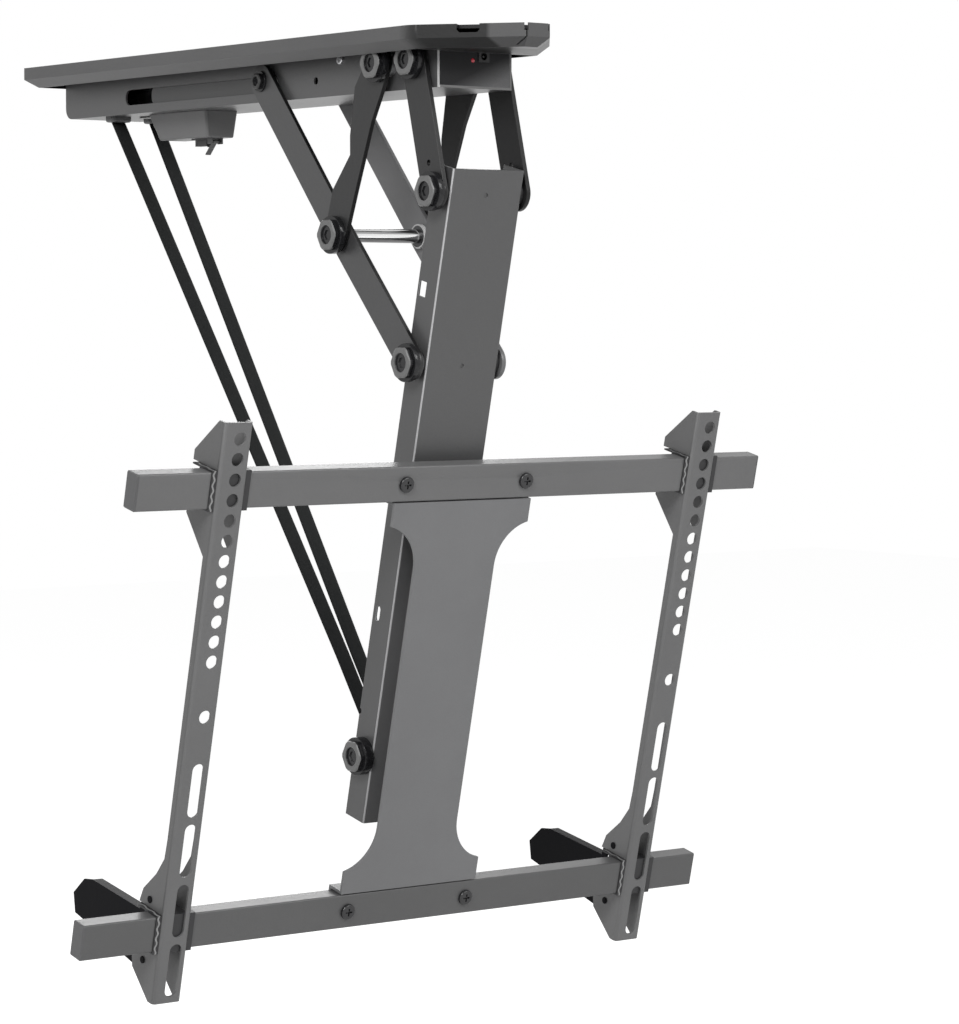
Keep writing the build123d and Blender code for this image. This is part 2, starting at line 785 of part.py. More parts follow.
def strap_run():
    """Free run of the +X strap, from its guide to the rear of the roller."""
    path_r = roller_r + strap_t / 2 + side_gap + strap_t
    run = (strap_axle[0] - guide_y, strap_axle[1] - guide_z)
    distance = math.hypot(*run)
    turn = math.atan2(run[1], run[0]) + math.asin(path_r / distance)
    length = math.sqrt(distance ** 2 - path_r ** 2)
    ahead = (0, math.cos(turn), math.sin(turn))
    top_end = (guide_y, guide_z)
    top = Plane(origin=(strap_top_x, *top_end), x_dir=(1, 0, 0), z_dir=ahead)
    foot = (strap_bottom_x, guide_y + ahead[1] * length, guide_z + ahead[2] * length)
    bottom = Plane(origin=foot, x_dir=(1, 0, 0), z_dir=ahead)
    section = Rectangle(strap_w, strap_t)
    edges = (strap_top_x - strap_w / 2, strap_top_x + strap_w / 2)
    return loft([top * section, bottom * section], ruled=True) + disc(top_end, strap_t / 2, *edges)


def strap_lead():
    """Fixed end of the +X strap, from the drum down through the guide."""
    start = (drum_y, drum_z - drum_coil_r - side_gap - strap_t / 2)
    route = Polyline(start, (guide_y, deck_z + channel_t), (guide_y, guide_z + strap_t))
    band = trace(route, line_width=strap_t)
    return extrude(Plane.YZ.offset(strap_top_x - strap_w / 2) * band, amount=strap_w, dir=(1, 0, 0))


def strap_guide():
    """Smooth guide that a strap leaves the channel through."""
    body = Box(guide_w, guide_length, guide_h)
    body = fillet(body.edges().filter_by(Axis.Z), guide_length * 0.3)
    body = fillet(body.edges().group_by(Axis.Z)[0], guide_h * 0.45)
    body -= Box(guide_slot_w, guide_slot_length, guide_h * 2)
    return Pos(strap_top_x, guide_y, -channel_h - guide_h / 2) * body


def winch_drum():
    """Drum shaft with a flanged spool at each side of the gearbox."""
    centre = (drum_y, drum_z)
    start = gearbox_half_w + side_gap * 2
    inner_flange = strap_top_x - strap_w / 2 - side_gap
    outer_flange = strap_top_x + strap_w / 2 + side_gap
    reach = bar_in - wall_gap
    solid = disc(centre, drum_shaft_r, -reach, reach)
    for side in (-1, 1):
        solid += disc(centre, drum_core_r, side * start, side * (outer_flange + drum_flange_t))
        solid += disc(centre, drum_flange_r, side * (inner_flange - drum_flange_t), side * inner_flange)
        solid += disc(centre, drum_flange_r, side * outer_flange, side * (outer_flange + drum_flange_t))
    return solid


def strap_coils():
    """Straps wound on the drum."""
    centre = (drum_y, drum_z)
    start = strap_top_x - strap_w / 2
    return pair(ring(centre, drum_coil_r, drum_core_r + snug_fit, start, start + strap_w))


def bearing_plates():
    """Plates beside the drum that stand on the channel floor."""
    outer = bar_in - wall_gap
    y_range = (drum_y - bearing_plate_w / 2, drum_y + bearing_plate_w / 2)
    plate = block((outer - bearing_plate_t, outer), y_range, (deck_z, -plate_t - channel_t))
    return pair(plate - disc((drum_y, drum_z), bearing_r + snug_fit, 0, channel_half_w))


def drum_bearings():
    """Bushes that the drum shaft turns in."""
    outer = bar_in - wall_gap
    bush = ring((drum_y, drum_z), bearing_r, drum_shaft_r + run_fit, outer - bearing_plate_t, outer)
    return pair(bush)


def gearbox():
    """Gearbox between the motor and the drum."""
    y_range = (gearbox_front_y, gearbox_rear_y)
    solid = block((-gearbox_half_w, gearbox_half_w), y_range, (deck_z, gearbox_top_z))
    solid = chamfer(solid.edges().filter_by(Axis.Y), channel_t)
    return solid - disc((drum_y, drum_z), drum_shaft_r + run_fit, -channel_half_w, channel_half_w)


def winch_motor():
    """Tube motor that lies along the channel."""
    length = gearbox_front_y - motor_front_y
    body = Rot(90, 0, 0) * Cylinder(motor_r, length)
    body = chamfer(body.edges(), channel_t / 2)
    return Pos(0, (gearbox_front_y + motor_front_y) / 2, motor_z) * body


def motor_saddles():
    """Cradles that the motor lies in."""
    saddles = []
    for y in (motor_front_y + saddle_inset, gearbox_front_y - saddle_inset):
        reach = (y - saddle_length / 2, y + saddle_length / 2)
        saddle = block((-saddle_w / 2, saddle_w / 2), reach, (deck_z, motor_z - motor_r * 0.5))
        cradle = Pos(0, y, motor_z) * Rot(90, 0, 0) * Cylinder(motor_r + snug_fit, saddle_length * 2)
        saddles.append(saddle - cradle)
    return saddles


def box_body(inset):
    """Box that tapers towards its floor on every side, drawn in by the inset."""
    front, rear = box_front_y + inset, box_rear_y - inset
    low_front, low_rear = front + box_front_slope, rear - box_rear_slope
    half_w, corner = box_half_w - inset, box_corner_r - inset
    mouth = Rectangle(half_w * 2, rear - front)
    floor = Rectangle((half_w - box_side_slope) * 2, low_rear - low_front)
    mouth = Pos(0, (front + rear) / 2, -channel_h) * fillet(mouth.vertices(), corner)
    floor = Pos(0, (low_front + low_rear) / 2, box_bottom_z + inset) * fillet(floor.vertices(), corner)
    return loft([floor, mouth], ruled=True)


def switch_box():
    """Box under the channel with a fixing tab behind it."""
    solid = box_body(0)
    solid = fillet(solid.edges().group_by(Axis.Z)[0], box_t)
    hollow = box_body(box_t)
    tab_y = (box_rear_y - box_t, box_rear_y + box_tab_length)
    solid += block((-box_tab_w / 2, box_tab_w / 2), tab_y, (-channel_h - box_t, -channel_h))
    return solid - hollow


def lever_bracket():
    """Angle bracket under the box, with two ears for the lever pin."""
    low = box_bottom_z - bracket_t
    reach = (bracket_front_y, bracket_rear_y)
    solid = block((-bracket_half_w, bracket_half_w), reach, (low, box_bottom_z))
    pin = (lever_pin_y, box_bottom_z - lever_pin_drop)
    for side in (-1, 1):
        faces = (side * (bracket_half_w - bracket_t), side * bracket_half_w)
        ear_y = (bracket_front_y, lever_pin_y + lever_pin_r * 3)
        solid += block(faces, ear_y, (pin[1] - lever_pin_r * 2, box_bottom_z))
    return solid - disc(pin, lever_pin_r + snug_fit, -bracket_half_w - 1, bracket_half_w + 1)


def lever_pin():
    """Pin across the ears of the bracket."""
    pin = (lever_pin_y, box_bottom_z - lever_pin_drop)
    return disc(pin, lever_pin_r, -bracket_half_w, bracket_half_w)


def limit_switch():
    """Small switch behind the lever, with its plunger."""
    top = box_bottom_z - bracket_t
    y_range = (switch_front_y, switch_front_y + switch_length)
    body = block((-switch_half_w, switch_half_w), y_range, (top - switch_h, top))
    plunger = Pos(0, switch_front_y + 2, top - switch_h - 0.5) * Cylinder(1.0, 1.0)
    return body + plunger


def limit_lever():
    """Sprung lever that slopes down and back from its pin."""
    pin = (lever_pin_y, box_bottom_z - lever_pin_drop)
    turn = math.radians(lever_slope)
    tip = (pin[0] + lever_length * math.cos(turn), pin[1] - lever_length * math.sin(turn))
    blade = bar(pin, tip, lever_t, -lever_half_w, lever_half_w * 2)
    barrel = disc(pin, lever_pin_r * 1.6, -lever_half_w, lever_half_w)
    return blade + barrel - disc(pin, lever_pin_r + run_fit, -lever_half_w - 1, lever_half_w + 1)


def cross_tube(up):
    """Square-cut tube whose top edge is at the given height in the leaning frame."""
    outer = block((-tube_half_length, tube_half_length), (0, tube_depth), (up - tube_h, up))
    outer = fillet(outer.edges().filter_by(Axis.X), tube_wall)
    bore = (tube_wall, tube_depth - tube_wall)
    reach = (-tube_half_length - 1, tube_half_length + 1)
    outer -= block(reach, bore, (up - tube_h + tube_wall, up - tube_wall))
    for x in (-tube_screw_x, tube_screw_x):
        middle = Pos(x, tube_depth / 2, up - tube_h / 2)
        outer -= middle * Rot(90, 0, 0) * Cylinder(tube_screw_r + snug_fit, tube_depth * 2)
    return leaning * outer


def tube_end_caps():
    """Plastic plugs in the four tube ends."""
    caps = []
    for up in (0, -tube_spacing):
        face_x = (tube_half_length, tube_half_length + end_cap_t)
        face = block(face_x, (0, tube_depth), (up - tube_h, up))
        face = fillet(face.edges().filter_by(Axis.X), tube_wall)
        face = chamfer(face.edges().group_by(Axis.X)[-1], end_cap_edge)
        inset = tube_wall + snug_fit
        plug_x = (tube_half_length - end_cap_plug, tube_half_length)
        face += block(plug_x, (inset, tube_depth - inset), (up - tube_h + inset, up - inset))
        caps += pair(leaning * face)
    return caps


def tube_screw_places():
    """Screw axes in the leaning frame, as (x, height)."""
    rows = (-tube_h / 2, -tube_spacing - tube_h / 2)
    return [(x, up) for x in (-tube_screw_x, tube_screw_x) for up in rows]


def tube_screws():
    """Cross-head screws through the tubes and the lips of the screen plate."""
    screw = pan_screw(tube_screw_head_r, tube_screw_head_h, tube_screw_r, lip_rear + nut_t)
    return [leaning * Pos(x, 0, up) * Rot(90, 0, 0) * screw for x, up in tube_screw_places()]


def tube_nuts():
    """Nuts behind the lips of the screen plate."""
    outline = RegularPolygon(tube_screw_r * 2, 6) - Circle(tube_screw_r + snug_fit)
    nut = extrude(outline, amount=-nut_t * 0.8)
    return [leaning * Pos(x, lip_rear, up) * Rot(90, 0, 0) * nut for x, up in tube_screw_places()]


def waist_cutter():
    """Slot shapes that narrow the screen plate to its waist."""
    centre_x = waist_half_w + waist_r
    straight = tube_gap - 2 * waist_from_tube
    outline = Rot(0, 0, 90) * SlotCenterToCenter(straight, waist_r * 2)
    middle = -tube_h - tube_gap / 2
    return [Pos(side * centre_x, middle) * outline for side in (-1, 1)]


def screen_plate():
    """Waisted sheet between the tubes, with folded ends and a lip behind each tube."""
    upright = Plane(origin=(0, 0, 0), x_dir=(1, 0, 0), z_dir=(0, -1, 0))
    middle = -tube_h - tube_gap / 2
    face = Pos(0, middle) * Rectangle(face_half_w * 2, tube_gap - 2 * plate_gap)
    for cut in waist_cutter():
        face -= cut
    solid = extrude(upright * face, amount=-face_t)
    for top, lip_up in ((-tube_h - plate_gap, 1), (-tube_spacing + plate_gap, -1)):
        sheet = (top - lip_up * face_t, top)
        solid += block((-face_half_w, face_half_w), (0, lip_rear), sheet)
        lip = (top - lip_up * face_t, top + lip_up * plate_lip_h)
        solid += block((-face_half_w, face_half_w), (tube_depth, lip_rear), lip)
    for x, up in tube_screw_places():
        solid -= Pos(x, lip_rear, up) * Rot(90, 0, 0) * Cylinder(tube_screw_r + snug_fit, face_t * 4)
    return leaning * solid


def plate_posts():
    """Welded posts between the screen plate and the arm."""
    post = Rot(90, 0, 0) * Cylinder(spacer_r, arm_front_depth - face_t)
    depth = (arm_front_depth + face_t) / 2
    return [leaning * Pos(0, depth, -tube_h - tube_gap * share) * post for share in (0.3, 0.75)]


def rail_flange_outline():
    """Side view of a rail flange as (depth, height), with its two tube notches."""
    low, under = -tube_spacing, -tube_spacing - tube_h
    notch = liner_t + slide_gap
    front, web = -rail_gap - rail_t, -rail_gap
    points = [(front, rail_up), (rail_flange, rail_up), (hook_depth, hook_rise)]
    points += [(hook_depth, notch), (web, notch), (web, -tube_h - notch)]
    points += [(hook_depth + 1, -tube_h - notch), (hook_depth + 1, -tube_h - hook_drop)]
    points += [(rail_flange, -tube_h - hook_slope), (rail_flange, low + low_hook_slope * 2)]
    points += [(rail_flange + 1, low + low_hook_slope * 1.5), (low_hook_depth * 0.42, low + low_hook_slope)]
    points += [(low_hook_depth * 0.87, low + low_hook_rise), (low_hook_depth - 1, low + notch)]
    points += [(web, low + notch), (web, under - notch), (low_hook_depth, under - notch)]
    points += [(low_hook_depth, under - low_hook_drop * 0.7), (low_hook_depth - 2, under - low_hook_drop)]
    points += [(rail_flange, -rail_down), (front, -rail_down)]
    return points


def rail(centre_x):
    """Vertical rail: slotted web in front and a flange with hooks on each side."""
    front = -rail_gap - rail_t
    solid = block((-rail_half_w, rail_half_w), (front, -rail_gap), (-rail_down, rail_up))
    for x in (-rail_half_w, rail_half_w - rail_t):
        solid += flat_plate(rail_flange_outline(), x, rail_t)
    envelope = block((-rail_half_w, rail_half_w), (front, hook_depth * 2), (-rail_down, rail_up))
    envelope = fillet(envelope.edges().filter_by(Axis.Z).group_by(Axis.Y)[0], rail_bend_r)
    return leaning * Pos(centre_x, 0, 0) * ((solid & envelope) - rail_openings())


def rail_openings():
    """Row of round holes, a single hole and a row of long slots in a rail web."""
    cuts = Part()
    heights = [rail_first_hole_up - rail_hole_spacing * i for i in range(rail_hole_count)]
    heights.append(-rail_single_hole_down)
    for up in heights:
        cuts += Pos(rail_hole_x, -rail_gap, up) * Rot(90, 0, 0) * Cylinder(rail_hole_r, rail_t * 4)
    for i in range(rail_slot_count):
        up = -rail_slot_first_down - rail_slot_spacing * i
        slot = Pos(rail_hole_x, up) * Rot(0, 0, 90) * SlotOverall(rail_slot_length, rail_hole_r * 2)
        cuts += extrude(Plane.XZ * slot, amount=rail_gap + rail_t * 2, both=True)
    return cuts


def rail_liners(centre_x):
    """Plastic sleeves in the two notches of a rail, where it rides on the tubes."""
    liners = []
    half = rail_half_w + liner_side
    for up in (0, -tube_spacing):
        reach = (-rail_gap, liner_depth)
        outer = block((-half, half), reach, (up - tube_h - liner_t, up + liner_t))
        wall = tube_depth + slide_gap
        for inner in ((-slide_gap, wall), (wall + liner_t, liner_depth + 1)):
            outer -= block((-half - 1, half + 1), inner, (up - tube_h - slide_gap, up + slide_gap))
        liners.append(leaning * Pos(centre_x, 0, 0) * outer)
    return liners


def rail_claw(centre_x):
    """Back bracket that closes the lower notch and stands out behind the rail."""
    low, under = -tube_spacing, -tube_spacing - tube_h
    notch = liner_t + slide_gap
    behind = liner_depth + slide_gap
    crest = low - claw_top_drop
    top_line = [(claw_root + claw_top_length + low_hook_depth, crest - 1), (low_hook_depth, crest + 2)]
    points = [(claw_root, low + notch), (behind, low + notch), (behind, under - notch)]
    points += [(claw_root, under - notch), (claw_root, under - low_hook_drop * 0.9)]
    points += [(low_hook_depth * 0.7, under - low_hook_drop), (claw_reach - 6, under - claw_end_drop)]
    points += [(claw_reach, under), (claw_reach - claw_end_rise, crest - 5)] + top_line
    points += [(low_hook_depth - 1, low + notch), (low_hook_depth * 0.75, low + low_hook_rise)]
    points += [(claw_root, low + low_hook_rise)]
    inner = -rail_half_w + rail_t
    solid = flat_plate(points, inner, claw_t)
    strip = top_line + [(depth, up - claw_t) for depth, up in reversed(top_line)]
    solid += flat_plate(strip, inner, claw_strip)
    return leaning * Pos(centre_x, 0, 0) * solid


def claw_rivets(centre_x):
    """Rivets that fix a back bracket to the left flange of its rail."""
    rivets = []
    outside = -rail_half_w
    inside = outside + rail_t + claw_t
    for up in (-tube_spacing + low_hook_rise * 0.6, -tube_spacing - tube_h - low_hook_rise):
        for start in (outside - rivet_head, inside):
            head = disc((rivet_depth, up), rivet_r, start, start + rivet_head)
            rivets.append(leaning * Pos(centre_x, 0, 0) * head)
    return rivets


parts["ceiling_plate"] = [ceiling_plate()]
parts["ceiling_cover"] = [ceiling_cover()]
parts["cover_clips"] = cover_clips()
parts["channel"] = [channel()]
parts["channel_screws"] = plate_screws() + side_screws() + screw_blocks()
parts["channel_end_plate"] = [end_plate()]
parts["dc_jack"] = [dc_jack()]
parts["power_lamp_lens"] = [led_lens()]
parts["control_board"] = [control_board()]
parts["board_posts"] = board_posts()
ceiling_pivots()
parts["slide_tracks"] = slide_tracks()
parts["winch_motor"] = [winch_motor()]
parts["winch_gearbox"] = [gearbox()]
parts["motor_saddles"] = motor_saddles()
parts["winch_drum"] = [winch_drum()]
parts["strap_coils"] = strap_coils()
parts["drum_bearing_plates"] = bearing_plates()
parts["drum_bearings"] = drum_bearings()
parts["strap_guides"] = pair(strap_guide())
parts["strap_leads"] = pair(strap_lead())
parts["strap_runs"] = pair(strap_run())
parts["switch_box"] = [switch_box()]
parts["lever_bracket"] = [lever_bracket(), lever_pin()]
parts["limit_switch"] = [limit_switch()]
parts["limit_lever"] = [limit_lever()]
for side, shape in zip(("right", "left"), pair(rocker())):
    parts["rocker_" + side] = [shape]
mid_pivot_parts()
for side, shape in zip(("right", "left"), pair(long_link())):
    parts["long_link_" + side] = [shape]
slide_pins()
parts["slide_bars"] = pair(slide_bar())
for side, shape in zip(("right", "left"), pair(front_link())):
    parts["front_link_" + side] = [shape]
front_link_caps()
parts["arm_channel"] = [arm_channel()]
arm_pivot_parts()
strap_axle_parts()
parts["strap_roller"] = [strap_roller()]
parts["strap_wraps"] = strap_wraps()
parts["screen_plate"] = [screen_plate()]
parts["plate_posts"] = plate_posts()
parts["upper_tube"] = [cross_tube(0)]
parts["lower_tube"] = [cross_tube(-tube_spacing)]
parts["tube_end_caps"] = tube_end_caps()
parts["tube_screws"] = tube_screws()
for side, centre_x in (("left", rail_left_x), ("right", rail_right_x)):
    parts["rail_" + side] = [rail(centre_x)]
    parts["rail_liners_" + side] = rail_liners(centre_x)
    parts["rail_claw_" + side] = [rail_claw(centre_x)] + claw_rivets(centre_x)

os.makedirs("parts", exist_ok=True)
for name, solids in parts.items():
    shapes = [solid for shape in solids for solid in shape.solids()]
    whole = shapes[0] if len(shapes) == 1 else Compound(children=shapes)
    export_step(whole, os.path.join("parts", name + ".step"))
print(len(parts), "nodes")
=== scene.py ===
import math
import bpy
import bmesh
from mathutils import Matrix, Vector


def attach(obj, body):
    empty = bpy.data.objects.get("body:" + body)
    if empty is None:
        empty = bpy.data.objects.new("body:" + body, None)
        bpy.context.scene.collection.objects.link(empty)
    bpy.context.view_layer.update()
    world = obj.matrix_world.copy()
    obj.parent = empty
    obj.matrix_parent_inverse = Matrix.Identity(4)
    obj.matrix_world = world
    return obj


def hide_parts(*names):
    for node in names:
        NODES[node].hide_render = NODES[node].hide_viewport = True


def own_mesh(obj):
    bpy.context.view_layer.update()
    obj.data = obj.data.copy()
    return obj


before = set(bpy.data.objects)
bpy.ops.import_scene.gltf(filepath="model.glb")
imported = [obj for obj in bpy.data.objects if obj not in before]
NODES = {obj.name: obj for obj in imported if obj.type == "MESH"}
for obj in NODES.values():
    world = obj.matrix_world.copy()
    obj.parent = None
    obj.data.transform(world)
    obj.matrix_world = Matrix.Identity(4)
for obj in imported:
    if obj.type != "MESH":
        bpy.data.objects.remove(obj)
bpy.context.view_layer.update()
scene = bpy.context.scene

# Places and sizes repeated from the part's source, in metres
STRAP_W = 0.015
STRAP_T = 0.0015
STRAP_TOP_X = 0.0206
STRAP_BOTTOM_X = 0.008
STRAP_GAP = 0.0003
GUIDE = Vector((0.0, 0.200, -0.0535))
LEAD_CORNER_Z = -0.044
DRUM = Vector((0.0, 0.236, -0.025))
CORE_R = 0.007
COIL_R = 0.012
AXLE = Vector((0.0, -0.21457, -0.60449))
ROLLER_R = 0.0082
MID_PIVOT_Y = -0.1931
MID_PIVOT_Z = -0.1655
MID_SHAFT_R = 0.006
RAIL_LEFT_X = -0.234
RAIL_RIGHT_X = 0.252

# How finely the woven bands are divided, how they lie and how far the free runs shorten
BAND_COLUMNS = 10
RUN_ROWS = 90
TURN_ROWS = 48
LEAD_ROWS = 12
BEND_ROWS = 12
END_ROWS = 6
SELVEDGE_POWER = 9
WEAVE_LENGTH = 0.69
SLANT_SHARE = 0.85
SNUG_FIT = 0.00005
WOUND_GAP = 0.00003
LEAD_BEND = 0.004
BEND_SHARE = 0.8

# Places on the mount where a finish changes or painted light and shade begin, in metres, and the
# slope and spread of the front plate's grey wedge, a painted reflection
BUSH_RIM_R = 0.0092
BEAD_OFFSET = 0.0161
BEAD_HALF = 0.0008
BEAD_SWING = 0.0007
BEAD_WAVES = 620.0
CHANNEL_FRONT_Y = -0.3224
CHANNEL_LEFT_X = -0.0355
SLIDE_TIP_Y = -0.0775
BOARD_UNDERSIDE_Z = -0.0128
WEDGE_SLOPE = 0.45
WEDGE_SPREAD = 16.0

# Noise scales of the coats, per metre, and the depths of their orange peel, in metres
CLOUD_SCALE = 9.0
SPECKLE_SCALE = 1400.0
FINE_PEEL_SCALE = 1100.0
FINE_PEEL_DEPTH = 0.0006
COARSE_PEEL_SCALE = 260.0
COARSE_PEEL_DEPTH = 0.0010

# The weave of a band, in threads across it and ribs along one WEAVE_LENGTH
WARP_THREADS = 5.2
WEFT_RIBS = 430.0
FIBRE_SCALE = (60.0, 2400.0, 1.0)

# Base colours
WHITE = (1.0, 1.0, 1.0)
COAT = (0.105, 0.105, 0.106)
LINK = (0.042, 0.042, 0.043)
BLACK = (0.010, 0.010, 0.011)
CAP_FACE = (0.125, 0.125, 0.125)


# ---------------------------------------------------------------- node helpers
def shade(colour, factor):
    return tuple(min(1.0, channel * factor) for channel in colour)


def grey(level):
    return (level, level, level)


class Graph:
    """The nodes of one material or world, with short calls that add and link them."""

    def __init__(self, tree):
        self.nodes = tree.nodes
        self.links = tree.links

    def feed(self, socket, value):
        """Links another node's output to a socket, or sets the socket to a plain value."""
        if isinstance(value, bpy.types.NodeSocket):
            self.links.new(value, socket)
        elif socket.type == "RGBA":
            socket.default_value = (*value, 1.0)
        else:
            socket.default_value = value

    def node(self, kind, inputs=(), **settings):
        """Adds a node with its settings, and feeds its inputs by name or number."""
        made = self.nodes.new(kind)
        for key, value in settings.items():
            setattr(made, key, value)
        for key, value in dict(inputs).items():
            self.feed(made.inputs[key], value)
        return made

    def math(self, operation, *values):
        made = self.node("ShaderNodeMath", enumerate(values), operation=operation)
        return made.outputs["Value"]

    def remap(self, source, given=(0.0, 1.0), wanted=(0.0, 1.0)):
        """Carries one range of numbers over to another, and clamps outside it."""
        made = self.node("ShaderNodeMapRange", {
            "Value": source, "From Min": given[0], "From Max": given[1],
            "To Min": wanted[0], "To Max": wanted[1]})
        return made.outputs["Result"]


class Finish(Graph):
    """A node material: each helper adds one layer of detail to the shader."""

    def __init__(self, name, colour, rough, metal=0.0):
        self.mat = bpy.data.materials.new(name)
        self.mat.use_nodes = True
        super().__init__(self.mat.node_tree)
        self.shader = self.nodes["Principled BSDF"]
        self.coord = self.node("ShaderNodeTexCoord")
        self.relief = None
        self.put("Base Color", colour)
        self.put("Roughness", rough)
        self.put("Metallic", metal)

    def put(self, socket, value):
        self.feed(self.shader.inputs[socket], value)

    def stretched(self, scale, source="Object"):
        """Texture coordinates multiplied by a scale along each axis."""
        inputs = {"Scale": scale, "Vector": self.coord.outputs[source]}
        return self.node("ShaderNodeMapping", inputs).outputs["Vector"]

    def texture(self, kind, vector, inputs, **settings):
        """A texture node over a vector, or else over the surface's place at rest."""
        vector = vector or self.coord.outputs["Object"]
        return self.node(kind, {"Vector": vector, **inputs}, **settings)

    def noise(self, scale, detail=2.0, rough=0.5, vector=None):
        inputs = {"Scale": scale, "Detail": detail, "Roughness": rough}
        return self.texture("ShaderNodeTexNoise", vector, inputs).outputs["Fac"]

    def clouds(self):
        return self.noise(CLOUD_SCALE, 4.0, 0.6)

    def speckle(self):
        return self.noise(SPECKLE_SCALE, 1.0)

    def voronoi(self, scale, feature="F1"):
        made = self.texture("ShaderNodeTexVoronoi", None, {"Scale": scale}, feature=feature)
        return made.outputs["Distance"]

    def wave(self, scale, direction, vector=None, distortion=0.0):
        inputs = {"Scale": scale, "Distortion": distortion}
        made = self.texture("ShaderNodeTexWave", vector, inputs, bands_direction=direction)
        return made.outputs["Fac"]

    def place(self, axis):
        """One coordinate of the surface at rest, in metres."""
        made = self.node("ShaderNodeSeparateXYZ", {"Vector": self.coord.outputs["Object"]})
        return made.outputs[axis]

    def reach(self, axis):
        """Distance of the surface from the middle of the mount along one axis."""
        return self.math("ABSOLUTE", self.place(axis))

    def ramp(self, source, *stops):
        """Colour ramp; each stop is (position, colour)."""
        made = self.node("ShaderNodeValToRGB", {"Fac": source})
        elements = made.color_ramp.elements
        while len(elements) < len(stops):
            elements.new(0.5)
        for element, (place, colour) in zip(elements, stops):
            element.position = place
            element.color = (*colour, 1.0)
        return made.outputs["Color"]

    def contrast(self, source, low, high):
        """Grey that rises from black at low to white at high."""
        return self.ramp(source, (low, grey(0.0)), (high, grey(1.0)))

    def mix(self, factor, first, second):
        made = self.node("ShaderNodeMix", data_type="RGBA")
        for index, value in ((0, factor), (6, first), (7, second)):
            self.feed(made.inputs[index], value)
        return made.outputs[2]

    def mottled(self, grain, colour, low, high):
        """A colour that a grain varies between two shades of it."""
        return self.mix(grain, shade(colour, low), shade(colour, high))

    def rough(self, source, low, high):
        """Roughness that varies between two values with a texture."""
        self.put("Roughness", self.remap(source, wanted=(low, high)))

    def bump(self, source, strength, distance):
        """Adds one relief on top of those before it."""
        inputs = {"Strength": strength, "Distance": distance, "Height": source}
        if self.relief:
            inputs["Normal"] = self.relief
        self.relief = self.node("ShaderNodeBump", inputs).outputs["Normal"]
        self.put("Normal", self.relief)

    def orange_peel(self, fine, coarse):
        """The two reliefs of a sprayed coat, with their strengths."""
        self.bump(self.noise(FINE_PEEL_SCALE, 2.0), fine, FINE_PEEL_DEPTH)
        self.bump(self.noise(COARSE_PEEL_SCALE, 1.0), coarse, COARSE_PEEL_DEPTH)


# ---------------------------------------------------------------- masks
def along(axis, start, end):
    """Mask that rises from 0 at start to 1 at end along one axis."""
    return lambda f: f.remap(f.place(axis), (start, end))


def beyond(axis, limit):
    """Mask of the places further from the middle than a limit."""
    return lambda f: f.math("GREATER_THAN", f.reach(axis), limit)


def between(axis, low, high):
    """Mask of the places whose distance from the middle lies in a range."""
    return lambda f: f.math("MULTIPLY", f.math("GREATER_THAN", f.reach(axis), low),
                            f.math("LESS_THAN", f.reach(axis), high))


def strip(axis, place, half):
    """Mask of a narrow band across one axis."""
    def mask(f):
        off = f.math("SUBTRACT", f.place(axis), place)
        return f.math("LESS_THAN", f.math("ABSOLUTE", off), half)
    return mask


# The cover's nose is darkened to 0.10 of its tone as painted shade; NOSE_LIP sets the tip beyond
# it to 0.75 of the tone.
NOSE_PAINTED_SHADE = along("Y", -0.316, -0.336)
NOSE_LIP = along("Y", -0.380, -0.383)
# The switch box's front face is darkened as painted shade.
BOX_FRONT_PAINTED_SHADE = along("Y", 0.0580, 0.0570)
# The left rail's side face is darkened as painted shade.
RAIL_SIDE_PAINTED_SHADE = along("X", RAIL_LEFT_X - 0.0129, RAIL_LEFT_X - 0.0133)
# The arm darkens towards its top as the painted shadow of the cover.
ARM_TOP_PAINTED_SHADOW = along("Z", -0.50, -0.36)
# The arm's side flanges are darkened as painted shade.
ARM_FLANGE_PAINTED_SHADE = beyond("X", 0.0363)
# A narrow band along the arm's left edge is brightened as a painted highlight.
ARM_EDGE_PAINTED_HIGHLIGHT = strip("X", -0.0359, 0.0005)
# The plate edges of the links and rockers are darkened as painted shade.
LINK_EDGE_PAINTED_SHADE = between("X", 0.0410, 0.0440)
ROCKER_EDGE_PAINTED_SHADE = between("X", 0.0460, 0.0490)


# ---------------------------------------------------------------- finishes
def powder_coat(name, colour, rough=0.42, shine=0.5, patches=()):
    """Orange peel and faint clouds; patches pair a mask with the factor of its tone."""
    f = Finish(name, colour, rough)
    clouds, speckle = f.clouds(), f.speckle()
    faint = f.math("MULTIPLY", speckle, 0.55)
    coat = f.mix(f.contrast(clouds, 0.35, 0.65),
                 f.mottled(faint, colour, 0.82, 1.08), f.mottled(faint, colour, 0.9, 1.22))
    for mask, factor in patches:
        coat = f.mix(mask(f), coat, f.mottled(speckle, colour, 0.85 * factor, 1.15 * factor))
    f.put("Base Color", coat)
    f.rough(clouds, rough - 0.05, rough + 0.06)
    f.orange_peel(0.05, 0.06)
    f.put("Specular IOR Level", shine)
    return f.mat


def channel_finish(name, colour):
    """Powder coat of the channel, with painted highlights on its front sheet edges, brightest on
    the left edge.
    """
    f = Finish(name, colour, 0.36)
    front = f.math("LESS_THAN", f.place("Y"), CHANNEL_FRONT_Y)
    left = f.math("LESS_THAN", f.place("X"), CHANNEL_LEFT_X)
    clouds, speckle = f.clouds(), f.speckle()
    coat = f.mix(f.contrast(clouds, 0.35, 0.65),
                 f.mottled(speckle, colour, 0.85, 1.15), shade(colour, 1.05))
    # Painted highlights on the front sheet edges: bright on the left edge, fainter on the others.
    painted_edge_highlight = f.mix(speckle, grey(0.34), grey(0.46))
    wear_and_painted_light = f.mix(speckle, grey(0.09), grey(0.13))
    f.put("Base Color", f.mix(front, coat, f.mix(left, wear_and_painted_light, painted_edge_highlight)))
    f.rough(clouds, 0.30, 0.42)
    f.orange_peel(0.05, 0.05)
    return f.mat


